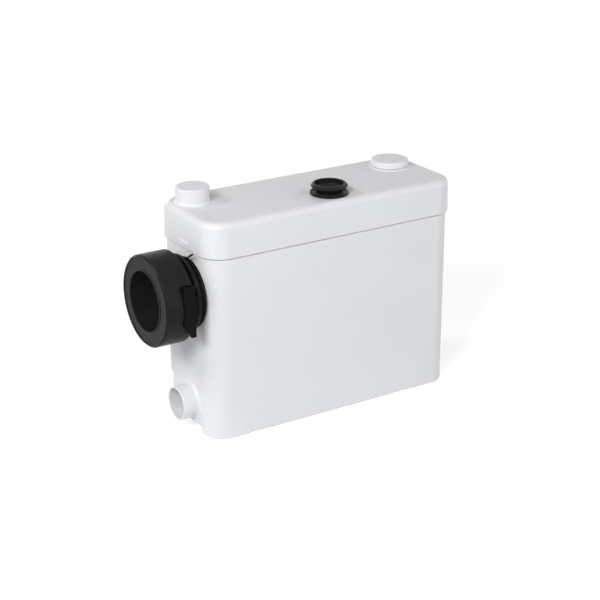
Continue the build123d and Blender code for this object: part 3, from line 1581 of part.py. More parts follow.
with BuildPart() as gland_nut:
    with BuildSketch(Plane.XZ.offset(-back_y + tank_wall)):
        with Locations((gland_x, gland_z)):
            RegularPolygon(gland_nut_radius, 6)
            Circle(gland_neck, mode=Mode.SUBTRACT)
    extrude(amount=gland_nut_thickness)
gland_nut.part.label = "gland_nut"
export_step(gland_nut.part, "parts/gland_nut.step")
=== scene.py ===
"""Looks of a slim upright macerator toilet pump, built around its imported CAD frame."""

import json
import logging
import math
from dataclasses import dataclass
from enum import Enum
from typing import Iterable, Sequence

import bmesh
import bpy
import numpy as np
from mathutils import Matrix, Vector


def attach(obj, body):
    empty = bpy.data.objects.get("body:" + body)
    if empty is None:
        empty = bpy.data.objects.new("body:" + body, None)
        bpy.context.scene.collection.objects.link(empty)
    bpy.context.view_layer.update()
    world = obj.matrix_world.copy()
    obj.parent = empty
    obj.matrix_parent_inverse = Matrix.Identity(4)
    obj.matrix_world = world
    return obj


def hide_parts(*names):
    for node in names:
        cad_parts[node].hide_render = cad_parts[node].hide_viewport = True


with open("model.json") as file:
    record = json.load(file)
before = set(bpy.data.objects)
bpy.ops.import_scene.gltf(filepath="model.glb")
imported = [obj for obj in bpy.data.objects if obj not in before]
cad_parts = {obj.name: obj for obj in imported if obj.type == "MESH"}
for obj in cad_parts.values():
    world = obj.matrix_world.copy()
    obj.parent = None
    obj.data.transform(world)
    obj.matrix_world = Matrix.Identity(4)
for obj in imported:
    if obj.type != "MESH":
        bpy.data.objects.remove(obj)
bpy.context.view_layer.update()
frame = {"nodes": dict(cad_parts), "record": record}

MM = 0.001
LOG = logging.getLogger("pump")

# Lengths in millimetres

BITE = 1.5  # how far a joined solid starts inside the other
OVERRUN = 4.0  # how far a cutter runs past the face that it opens
CORE = 0.3  # radius of the flat disc in the middle of a turned solid
SAME_POINT = 1e-4  # points closer than this are one
LEAST_CORNER = 0.01

# Directions and shares

ACROSS = (1, 0, 0)
UPWARD = (0, 0, 1)
LEFTWARD = (-1, 0, 0)
BACKWARD = (0, 1, 0)
FRONTWARD = (0, -1, 0)
QUARTER = math.pi / 2
TURN = 2 * math.pi
TINY = 1e-9
LEAST_ANGLE = 1e-6
ROOM_SHARE = 0.49
NORMAL_WEIGHT = 80

Point = tuple[float, float, float]
Colour = tuple[float, float, float]
Pair = tuple[float, float]


# Surfaces


@dataclass
class Surface:
    """Points in millimetres with the faces that join them.

    Args:
        points: Array of shape (n, 3).
        faces: Lists of point indices, one per face, all turned outwards.
    """

    points: np.ndarray
    faces: list[list[int]]

    def placed(self, origin: Sequence[float], x_dir: Point = ACROSS, z_dir: Point = UPWARD) -> "Surface":
        """The same surface with its local axes laid along the given directions.

        Args:
            origin: Where the local origin goes, in millimetres.
            x_dir: Direction of the local X axis.
            z_dir: Direction of the local Z axis.

        Returns:
            The placed surface.
        """
        x = np.array(x_dir, float)
        z = np.array(z_dir, float)
        axes = np.stack([x, np.cross(z, x), z])
        return Surface(self.points @ axes + np.array(origin, float), self.faces)


def grid_faces(rows: int, columns: int, wrap_rows: bool) -> list[list[int]]:
    """Quads of a grid whose columns close on themselves.

    Args:
        rows: Number of point rows.
        columns: Number of points in a row.
        wrap_rows: Whether the last row joins the first; otherwise both get a flat face.

    Returns:
        Index lists, each row pair joined column by column.
    """
    r = np.arange(rows if wrap_rows else rows - 1)[:, None]
    c = np.arange(columns)[None, :]
    r_next, c_next = (r + 1) % rows, (c + 1) % columns
    corners = [r * columns + c, r * columns + c_next, r_next * columns + c_next, r_next * columns + c]
    faces = np.stack(corners, axis=-1).reshape(-1, 4).tolist()
    if not wrap_rows:
        faces.append(list(range(columns))[::-1])
        faces.append(list(range((rows - 1) * columns, rows * columns)))
    return faces


def soften(points: Sequence[Point], closed: bool = True, steps: int = 6) -> np.ndarray:
    """A flat outline with each corner replaced by an arc that touches both sides.

    The arc's centre lies on the corner's bisector at radius / sin(half angle), and its points are the
    spherical mix of the two touching directions.

    Args:
        points: (x, y, radius) for each corner.
        closed: Whether the outline closes; an open one keeps its two ends sharp.
        steps: Segments in each arc.

    Returns:
        Array of shape (n, 2) without repeated points.
    """
    data = np.array(points, float)
    xy, radius = data[:, :2], data[:, 2].copy()
    if not closed:
        radius[[0, -1]] = 0.0
    before, after = np.roll(xy, 1, 0) - xy, np.roll(xy, -1, 0) - xy
    long_before = np.linalg.norm(before, axis=1, keepdims=True)
    long_after = np.linalg.norm(after, axis=1, keepdims=True)
    u, v = before / np.maximum(long_before, TINY), after / np.maximum(long_after, TINY)
    half = np.arccos(np.clip((u * v).sum(1), -1, 1)) / 2
    room = ROOM_SHARE * np.minimum(long_before, long_after)[:, 0]
    reach = np.minimum(radius / np.maximum(np.tan(half), TINY), room)
    radius = reach * np.tan(half)
    bisector = u + v
    bisector /= np.maximum(np.linalg.norm(bisector, axis=1, keepdims=True), TINY)
    centre = xy + bisector * (radius / np.maximum(np.sin(half), TINY))[:, None]
    first, last = xy + u * reach[:, None] - centre, xy + v * reach[:, None] - centre
    sweep = np.maximum(math.pi - 2 * half, LEAST_ANGLE)[:, None, None]
    s = np.linspace(0, 1, steps + 1)[None, :, None]
    arc = (np.sin((1 - s) * sweep) * first[:, None] + np.sin(s * sweep) * last[:, None]) / np.sin(sweep)
    out = (centre[:, None] + arc).reshape(-1, 2)
    keep = np.linalg.norm(out - np.roll(out, 1, 0), axis=1) > SAME_POINT
    if not closed:
        keep[0] = True
    return out[keep]


def fillet(radius: float, root: float, level: float, steps: int) -> np.ndarray:
    """The quarter circle that leads from a flat up into an upright cylinder.

    Args:
        radius: Radius of the cylinder.
        root: Radius of the fillet.
        level: Height of the flat.
        steps: Points on the quarter circle.

    Returns:
        Array of (radius, height) points, after one point sunk into the flat.
    """
    a = np.linspace(0, QUARTER, steps)
    arc = np.column_stack([radius + root - root * np.sin(a), level + root - root * np.cos(a)])
    return np.vstack([[(radius + root, level - BITE)], arc])


def lathe(profile: np.ndarray, steps: int = 96, ring: bool = False) -> Surface:
    """A profile carried round the local Z axis: x = r cos a, y = r sin a, z = h.

    Args:
        profile: Array of (radius, height) points, anticlockwise with the solid on the left.
        steps: Points round the circle.
        ring: Whether the profile closes on itself; otherwise both ends get a flat disc.

    Returns:
        A closed surface.
    """
    angle = np.linspace(0, TURN, steps, endpoint=False)
    r, h = profile[:, :1], profile[:, 1:]
    grid = np.stack([r * np.cos(angle), r * np.sin(angle), h + 0 * angle], axis=-1)
    return Surface(grid.reshape(-1, 3), grid_faces(len(profile), steps, ring))


def turned(points: Sequence[Point], steps: int = 96) -> Surface:
    """A solid turned about the local Z axis from a softened open line of (radius, height, corner radius)."""
    return lathe(soften(points, closed=False), steps)


def hole(radius: float, low: float, high: float, steps: int = 96) -> Surface:
    """A plain round hole's cutter about the local Z axis."""
    return lathe(np.array([(radius, low), (radius, high)]), steps)


def prism(outline: np.ndarray, low: float, high: float) -> Surface:
    """A flat anticlockwise outline of (x, y) points carried straight from one height to another."""
    return stacked([outline, outline], (low, high))


def rounded_box(size: Sequence[float], radius: float, edge: float, steps: int = 5) -> Surface:
    """A box with upright corners of one radius and softened top and bottom edges.

    Each level is a rounded rectangle; its inset follows a quarter circle near both ends.

    Args:
        size: Lengths along X, Y and Z.
        radius: Radius of the upright corners.
        edge: Radius of the top and bottom edges.
        steps: Segments in each arc.

    Returns:
        A closed surface centred on the origin.
    """
    a = np.linspace(0, QUARTER, steps + 1)
    inset, rise = edge * (1 - np.sin(a)), edge * (1 - np.cos(a))
    insets = np.concatenate([inset, inset[::-1]])
    levels = np.concatenate([-size[2] / 2 + rise, size[2] / 2 - rise[::-1]])
    loops = [
        rounded_loop(size[0] - 2 * i, size[1] - 2 * i, max(radius - i, LEAST_CORNER), steps) for i in insets
    ]
    return stacked(loops, levels)


def rounded_loop(length: float, depth: float, radius: float, arc_steps: int,
                 side_steps: int = 1, centre_y: float = 0.0) -> np.ndarray:
    """A rounded rectangle as four quarter circles joined by straight sides.

    Args:
        length: Size along X.
        depth: Size along Y.
        radius: Corner radius.
        arc_steps: Segments in a corner.
        side_steps: Segments in a side.
        centre_y: Where its middle lies along Y.

    Returns:
        Array of shape (n, 2), anticlockwise from the right side's upper end.
    """
    a = np.linspace(0, QUARTER, arc_steps + 1)
    cx, cy = length / 2 - radius, depth / 2 - radius
    corners = [(cx, cy), (-cx, cy), (-cx, -cy), (cx, -cy)]
    arcs = [
        np.column_stack([x + radius * np.cos(a + q * QUARTER), y + radius * np.sin(a + q * QUARTER)])
        for q, (x, y) in enumerate(corners)
    ]
    t = np.linspace(0, 1, side_steps + 1)[1:-1, None]
    parts = []
    for arc, following in zip(arcs, arcs[1:] + arcs[:1]):
        parts.append(arc)
        parts.append(arc[-1] * (1 - t) + following[0] * t)
    return np.vstack(parts) + np.array([0.0, centre_y])


def stacked(loops: Sequence[np.ndarray], levels: Iterable[float]) -> Surface:
    """Equal-count loops laid one above another and closed by flat ends.

    Args:
        loops: Flat loops in the order they follow the wall.
        levels: The height of each loop.

    Returns:
        A closed surface.
    """
    count = len(loops[0])
    points = np.vstack([np.column_stack([p, np.full(count, z)]) for p, z in zip(loops, levels)])
    return Surface(points, grid_faces(len(loops), count, False))


def ribbon(path: np.ndarray, thickness: float, low: float, high: float, round_steps: int = 4) -> Surface:
    """A flat strip of round-edged section that follows a path in the local XY plane.

    Each section is a rounded rectangle of the given thickness and height, laid across the path's normal.

    Args:
        path: Array of (x, y) points.
        thickness: Strip thickness.
        low: Lower height of the strip.
        high: Upper height of the strip.
        round_steps: Segments in each rounded edge.

    Returns:
        A closed surface.
    """
    tangent = np.gradient(path, axis=0)
    tangent /= np.linalg.norm(tangent, axis=1, keepdims=True)
    normal = np.column_stack([-tangent[:, 1], tangent[:, 0]])
    half, thickness_share, height_share = thickness / 2, 1 / 2.2, 1 / 4
    corner = min(thickness * thickness_share, (high - low) * height_share)
    section = soften(
        [(-half, low, corner), (-half, high, corner), (half, high, corner), (half, low, corner)],
        steps=round_steps,
    )
    across = path[:, None] + normal[:, None] * section[None, :, :1]
    height = np.broadcast_to(section[None, :, 1:], across.shape[:2] + (1,))
    points = np.concatenate([across, height], axis=-1).reshape(-1, 3)
    return Surface(points, grid_faces(len(path), len(section), False))


def smooth_curve(values: np.ndarray, t: np.ndarray) -> np.ndarray:
    """A smooth line through evenly numbered values: each span is a cubic with averaged slopes.

    Args:
        values: The values passed through.
        t: Places to read, from zero to the last value's number.

    Returns:
        The curve's values at those places.
    """
    slope = np.gradient(values)
    k = np.minimum(t.astype(int), len(values) - 2)
    s = t - k
    a, b, ma, mb = values[k], values[k + 1], slope[k], slope[k + 1]
    return (
        (2 * s**3 - 3 * s**2 + 1) * a + (s**3 - 2 * s**2 + s) * ma
        + (3 * s**2 - 2 * s**3) * b + (s**3 - s**2) * mb
    )


# Mesh making


class Cut(Enum):
    """What a second solid does to a first one."""

    JOIN = "UNION"
    TAKE = "DIFFERENCE"


def mesh_object(name: str, surface: Surface) -> bpy.types.Object:
    """A mesh object at the origin whose place is in its vertices.

    Args:
        name: The piece's name.
        surface: Its surface in millimetres.

    Returns:
        The new object, linked to the scene.
    """
    mesh = bpy.data.meshes.new(name)
    mesh.from_pydata((surface.points * MM).tolist(), [], surface.faces)
    mesh.validate()
    obj = bpy.data.objects.new(name, mesh)
    bpy.context.scene.collection.objects.link(obj)
    turn_outward(mesh)
    return obj


def turn_outward(mesh: bpy.types.Mesh) -> None:
    """Joins a mesh's doubled points and turns every face outwards.

    Args:
        mesh: A closed mesh in metres.
    """
    bm = bmesh.new()
    bm.from_mesh(mesh)
    bmesh.ops.remove_doubles(bm, verts=bm.verts, dist=SAME_POINT * MM)
    bmesh.ops.recalc_face_normals(bm, faces=bm.faces)
    bm.to_mesh(mesh)
    bm.free()


def settle(obj: bpy.types.Object) -> None:
    """Applies every modifier of a piece to its mesh.

    Args:
        obj: The piece that changes.
    """
    bpy.context.view_layer.update()
    deps = bpy.context.evaluated_depsgraph_get()
    done = bpy.data.meshes.new_from_object(obj.evaluated_get(deps), depsgraph=deps)
    obj.modifiers.clear()
    obj.data = done
    done.name = obj.name


def combine(obj: bpy.types.Object, kind: Cut, *surfaces: Surface) -> None:
    """Joins solids to a piece or takes them out of it.

    Args:
        obj: The piece that changes.
        kind: Whether the solids are joined or taken away.
        surfaces: Closed surfaces, each used in turn.
    """
    for surface in surfaces:
        tool = mesh_object("tool", surface)
        step = obj.modifiers.new("step", "BOOLEAN")
        step.object = tool
        step.operation = kind.value
        step.solver = "MANIFOLD"
        settle(obj)
        bpy.data.objects.remove(tool)


def shade(obj: bpy.types.Object, angle: float = 32.0) -> None:
    """Smooth shading with sharp edges kept, weighted so that large flats stay flat.

    Args:
        obj: The piece to shade.
        angle: Edges that turn more than this many degrees stay sharp.
    """
    mesh = obj.data
    mesh.polygons.foreach_set("use_smooth", np.ones(len(mesh.polygons), bool))
    mesh.set_sharp_from_angle(angle=math.radians(angle))
    weigh = obj.modifiers.new("weigh", "WEIGHTED_NORMAL")
    weigh.keep_sharp = True
    weigh.weight = NORMAL_WEIGHT
    settle(obj)


# Shader building


class Value:
    """A shader socket that can be used in a Python expression."""

    def __init__(self, tree: "Tree", socket: bpy.types.NodeSocket) -> None:
        """Keeps the socket and the tree it lives in."""
        self.tree = tree
        self.socket = socket

    def _math(self, operation: str, first: object, second: object) -> "Value":
        """A Math node on two values or numbers."""
        return self.tree.node("ShaderNodeMath", {0: first, 1: second}, operation=operation)

    def __add__(self, other: object) -> "Value":
        """Sum."""
        return self._math("ADD", self, other)

    def __sub__(self, other: object) -> "Value":
        """Difference."""
        return self._math("SUBTRACT", self, other)

    def __mul__(self, other: object) -> "Value":
        """Product."""
        return self._math("MULTIPLY", self, other)

    def __truediv__(self, other: object) -> "Value":
        """Quotient."""
        return self._math("DIVIDE", self, other)

    def above(self, other: object) -> "Value":
        """One where the value is greater than the other."""
        return self._math("GREATER_THAN", self, other)

    def clamped(self) -> "Value":
        """The value held between zero and one."""
        return self.tree.node("ShaderNodeClamp", {0: self})


class Tree:
    """A material's node tree with one way to add a node."""

    def __init__(self, name: str) -> None:
        """Makes an empty node material of that name."""
        self.material = bpy.data.materials.new(name)
        self.material.use_nodes = True
        self.nodes = self.material.node_tree.nodes
        self.links = self.material.node_tree.links
        self.nodes.clear()

    def node(self, kind: str, inputs: dict[object, object], output: object = 0, **settings: str) -> Value:
        """Adds a node.

        Args:
            kind: The node's type name.
            inputs: Numbers, colours or Value links by socket name or number.
            output: The socket that the result stands for.
            settings: Properties that are set before the inputs.

        Returns:
            The chosen output.
        """
        made = self.nodes.new(kind)
        for key, setting in settings.items():
            setattr(made, key, setting)
        for key, given in inputs.items():
            if isinstance(given, Value):
                self.links.new(given.socket, made.inputs[key])
            else:
                made.inputs[key].default_value = given
        return Value(self, made.outputs[output])

    def coordinates(self) -> Value:
        """The piece's own object coordinates, in metres."""
        return self.node("ShaderNodeTexCoord", {}, "Object")

    def noise(self, place: Value, scale: float, detail: float, rough: float = 0.5,
              stretch: Sequence[float] = (1, 1, 1)) -> Value:
        """Smooth noise between zero and one, read at stretched coordinates with so many cells per metre."""
        moved = self.node("ShaderNodeMapping", {"Vector": place, "Scale": tuple(stretch)})
        inputs = {"Vector": moved, "Scale": scale, "Detail": detail, "Roughness": rough}
        return self.node("ShaderNodeTexNoise", inputs)

    def mixed(self, factor: Value, first: object, second: object) -> Value:
        """A colour between two colours."""
        return self.node("ShaderNodeMix", {"Factor": factor, 6: first, 7: second}, 2, data_type="RGBA")

    def bump(self, height: Value, strength: float, distance: float, under: Value | None = None) -> Value:
        """A bumped normal.

        Args:
            height: The height pattern.
            strength: How much of it shows.
            distance: Its depth in metres.
            under: A normal that it adds to.

        Returns:
            The normal.
        """
        inputs: dict[object, object] = {"Height": height, "Strength": strength, "Distance": distance}
        if under is not None:
            inputs["Normal"] = under
        return self.node("ShaderNodeBump", inputs)

    def finish(self, shader: Value) -> bpy.types.Material:
        """Joins the shader to the output and gives the material."""
        out = self.nodes.new("ShaderNodeOutputMaterial")
        self.links.new(shader.socket, out.inputs["Surface"])
        return self.material

    def principled(self, colour: Value, rough: object, normal: Value,
                   **inputs: float) -> bpy.types.Material:
        """Ends the tree in a Principled shader.

        Args:
            colour: Base colour.
            rough: Roughness.
            normal: The bumped normal.
            inputs: Further inputs, each by its socket's name in small letters with underscores.

        Returns:
            The finished material.
        """
        given = {"Base Color": colour, "Roughness": rough, "Normal": normal}
        names = {"ior": "IOR", "specular": "Specular IOR Level", "metallic": "Metallic"}
        given.update({names[key]: value for key, value in inputs.items()})
        return self.finish(self.node("ShaderNodeBsdfPrincipled", given, "BSDF"))


def rgba(colour: Sequence[float], gain: float = 1.0, lift: float = 0.0) -> tuple[float, ...]:
    """A colour multiplied by a gain and lifted, held below one, with full alpha."""
    return (*(min(c * gain + lift, 1.0) for c in colour), 1.0)


# Finishes


@dataclass(frozen=True)
class Moulded:
    """Moulded plastic with a fine skin, faint flow marks and light handling wear."""

    name: str
    colour: Colour
    roughness: float = 0.4
    grain: float = 0.03
    grain_scale: float = 2600.0
    wave: float = 0.10
    tint: float = 0.02
    specular: float = 0.5
    dark_tints: float = 2.2
    speck_level: float = 0.78
    speck_share: float = 0.25
    dust_gain: float = 0.93
    dust_lift: float = 0.02

    def material(self) -> bpy.types.Material:
        """The plastic's material.

        Returns:
            A Principled material: a slow noise shifts colour and roughness, a fine one makes the skin.
        """
        t = Tree(self.name)
        at = t.coordinates()
        slow = t.noise(at, scale=14.0, detail=2.0)
        fine = t.noise(at, scale=self.grain_scale, detail=2.0, rough=0.6)
        rubbed = t.noise(at, scale=90.0, detail=5.0, rough=0.65, stretch=(1, 1, 0.25))
        specks = t.noise(at, scale=900.0, detail=1.0).above(self.speck_level)
        darker = rgba(self.colour, gain=1 - self.tint * self.dark_tints)
        colour = t.mixed(slow, darker, rgba(self.colour, gain=1 + self.tint))
        dusty = rgba(self.colour, self.dust_gain, self.dust_lift)
        colour = t.mixed(specks * self.speck_share, colour, dusty)
        rub_gain, slow_gain = 0.12, 0.03
        rough = rubbed * rub_gain + (self.roughness - rub_gain / 2) + slow * slow_gain
        normal = t.bump(slow, strength=self.wave, distance=0.0006)
        normal = t.bump(fine, strength=self.grain, distance=0.00012, under=normal)
        return t.principled(colour, rough, normal, ior=1.49, specular=self.specular)


@dataclass(frozen=True)
class Rubber:
    """Moulded rubber: a dark satin skin with fine grain and a trace of bloom."""

    name: str
    colour: Colour
    roughness: float = 0.4
    bloom: float = 0.02
    grain: float = 0.08
    specular: float = 0.5
    bloom_level: float = 0.45
    bloom_contrast: float = 3.0

    def material(self) -> bpy.types.Material:
        """The rubber's material.

        Returns:
            A Principled material: cloudy noise adds bloom, and two grains make the skin.
        """
        t = Tree(self.name)
        at = t.coordinates()
        cloud = t.noise(at, scale=45.0, detail=5.0, rough=0.6)
        fine = t.noise(at, scale=3200.0, detail=2.0, rough=0.6)
        coarse = t.noise(at, scale=420.0, detail=3.0)
        bloomed = ((cloud - self.bloom_level) * self.bloom_contrast).clamped()
        colour = t.mixed(bloomed, rgba(self.colour), rgba(self.colour, lift=self.bloom))
        cloud_gain, coarse_gain, base = 0.12, 0.04, self.roughness - 0.05
        rough = cloud * cloud_gain + base + coarse * coarse_gain
        normal = t.bump(coarse, strength=self.grain, distance=0.0001)
        normal = t.bump(fine, strength=self.grain, distance=0.00006, under=normal)
        return t.principled(colour, rough, normal, ior=1.5, specular=self.specular)


@dataclass(frozen=True)
class Metal:
    """Metal with drawn or turned streaks, cast grain or dulled patches."""

    name: str
    colour: Colour
    roughness: float = 0.35
    streak: Point = (1.0, 1.0, 30.0)
    streak_scale: float = 160.0
    streak_depth: float = 0.12
    dull: float = 0.25
    metallic: float = 1.0
    worn_level: float = 0.5
    worn_contrast: float = 4.0

    def material(self) -> bpy.types.Material:
        """The metal's material.

        Returns:
            A Principled material: stretched noise gives the streaks, slow noise the dulled patches.
        """
        t = Tree(self.name)
        at = t.coordinates()
        lines = t.noise(at, scale=self.streak_scale, detail=4.0, rough=0.7, stretch=self.streak)
        patch = t.noise(at, scale=38.0, detail=5.0, rough=0.6)
        worn = ((patch - self.worn_level) * self.worn_contrast).clamped()
        colour = t.mixed(worn, rgba(self.colour), rgba(self.colour, gain=1 - self.dull))
        lines_gain, worn_gain, base = 0.14, 0.12, self.roughness - 0.08
        rough = lines * lines_gain + base + worn * worn_gain
        normal = t.bump(lines, strength=self.streak_depth, distance=0.00008)
        return t.principled(colour, rough, normal, metallic=self.metallic)


@dataclass(frozen=True)
class Foam:
    """Open-cell filter foam: a paler skeleton round cells darkened with painted shade."""

    name: str
    colour: Colour
    cell: float = 900.0
    pale_gain: float = 2.5
    pale_lift: float = 0.02

    def material(self) -> bpy.types.Material:
        """The foam's material: Voronoi cells set the height, and the colour goes dark towards each cell's
        sunken middle as painted shade.
        """
        t = Tree(self.name)
        at = t.coordinates()
        cells = t.node("ShaderNodeTexVoronoi", {"Vector": at, "Scale": self.cell}, "Distance")
        pale = rgba(self.colour, self.pale_gain, self.pale_lift)
        # painted shade: the colour goes dark where the bump sinks into each cell, as if shade fell into the
        # pores
        colour = t.mixed(cells.clamped(), rgba(self.colour), pale)
        normal = t.bump(cells, strength=0.9, distance=0.0008)
        return t.principled(colour, 0.9, normal, specular=0.2)


class Finishes:
    """Every finish of the pump, each made once and shared by its slot's pieces."""

    def __init__(self) -> None:
        """Makes the materials by the record's slot names."""
        by_kind = (self.plastics(), self.rubbers(), self.metals())
        self.by_slot = {recipe.name: recipe.material() for recipes in by_kind for recipe in recipes}

    def plastics(self) -> list[Moulded]:
        """The moulded plastics, outside ones first."""
        white = (0.818, 0.825, 0.839)
        sheen = {"grain": 0.05, "grain_scale": 2200.0, "wave": 0.1, "tint": 0.2, "specular": 0.06}
        return [
            Moulded("shell_plastic", white, 0.42),
            Moulded("lid_plastic", white, 0.40),
            Moulded("cap_plastic", (0.845, 0.85, 0.87), 0.42),
            Moulded("black_plastic", (0.005, 0.005, 0.0053), 0.36, **sheen),
            Moulded("tie_plastic", (0.004, 0.004, 0.0044), 0.45, **sheen),
            Moulded("deck_plastic", (0.16, 0.17, 0.18), 0.5, grain=0.12, grain_scale=1500.0, tint=0.06),
            Moulded("basket_plastic", (0.6, 0.61, 0.62), 0.45),
            Moulded("pump_plastic", (0.05, 0.05, 0.055), 0.5, grain=0.14, grain_scale=1500.0, tint=0.1),
            Moulded("pipe_plastic", (0.66, 0.67, 0.68), 0.38),
            Moulded("capacitor_plastic", (0.7, 0.69, 0.66), 0.35),
            Moulded("switch_plastic", (0.06, 0.06, 0.065), 0.45, grain=0.1, grain_scale=1500.0, tint=0.1),
            Moulded("gland_plastic", (0.28, 0.29, 0.30), 0.45, grain=0.08, grain_scale=1500.0),
        ]

    def rubbers(self) -> list[Rubber | Foam]:
        """The rubbers and the foam."""
        return [
            Rubber("black_rubber", (0.015, 0.015, 0.0155), 0.27, bloom=0.004, grain=0.06, specular=0.06),
            Rubber("grommet_rubber", (0.009, 0.009, 0.010), 0.42, bloom=0.006, specular=0.16),
            Rubber("seal_rubber", (0.03, 0.03, 0.032), 0.55),
            Rubber("foot_rubber", (0.09, 0.09, 0.095), 0.7, bloom=0.03),
            Rubber("flap_rubber", (0.02, 0.02, 0.021), 0.5),
            Rubber("membrane_rubber", (0.35, 0.09, 0.05), 0.45, bloom=0.03),
            Rubber("hose_rubber", (0.015, 0.015, 0.016), 0.45),
            Foam("filter_foam", (0.03, 0.03, 0.032)),
        ]

    def metals(self) -> list[Metal]:
        """The metals."""
        steel, even, along, turned = (0.62, 0.63, 0.65), (1, 1, 1), (1, 1, 40), (30, 1, 1)
        flat, wound, stacked_plates = (1, 1, 0.2), (2, 2, 0.3), (0.1, 0.1, 60)
        return [
            Metal("band_steel", (0.05, 0.05, 0.052), 0.4, streak_scale=300.0),
            Metal("screw_steel", (0.55, 0.56, 0.58), 0.34),
            Metal("pin_steel", steel, 0.28),
            Metal("can_metal", (0.42, 0.44, 0.47), 0.42, flat, 500.0, 0.1, 0.12, 0.25),
            Metal("cover_metal", (0.62, 0.62, 0.63), 0.48, even, 700.0, 0.35, 0.2),
            Metal("bush_brass", (0.62, 0.42, 0.2), 0.38),
            Metal("core_steel", (0.2, 0.2, 0.215), 0.5, stacked_plates, 60.0, 0.5),
            Metal("copper_wire", (0.5, 0.2, 0.09), 0.32, wound, 900.0, 0.6),
            Metal("shaft_steel", steel, 0.25, along, 120.0),
            Metal("cutter_steel", steel, 0.3, turned, 120.0),
        ]

    def dress(self, obj: bpy.types.Object, slot: str) -> None:
        """Gives a piece the finish of one slot."""
        obj.data.materials.clear()
        obj.data.materials.append(self.by_slot[slot])


@dataclass
class SubAssembly:
    """A group of pieces that share finishes."""

    finishes: Finishes

    def place(self, obj: bpy.types.Object, body: str, slot: str, *nodes: str) -> None:
        """Dresses a piece, rides it on a body and lets it stand for its nodes.

        Args:
            obj: The piece.
            body: The body that carries it.
            slot: Its finish.
            nodes: The CAD nodes that it replaces.
        """
        self.finishes.dress(obj, slot)
        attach(obj, body)
        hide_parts(*nodes)
        LOG.info("%s: %d faces on %s", obj.name, len(obj.data.polygons), body)


# Tank


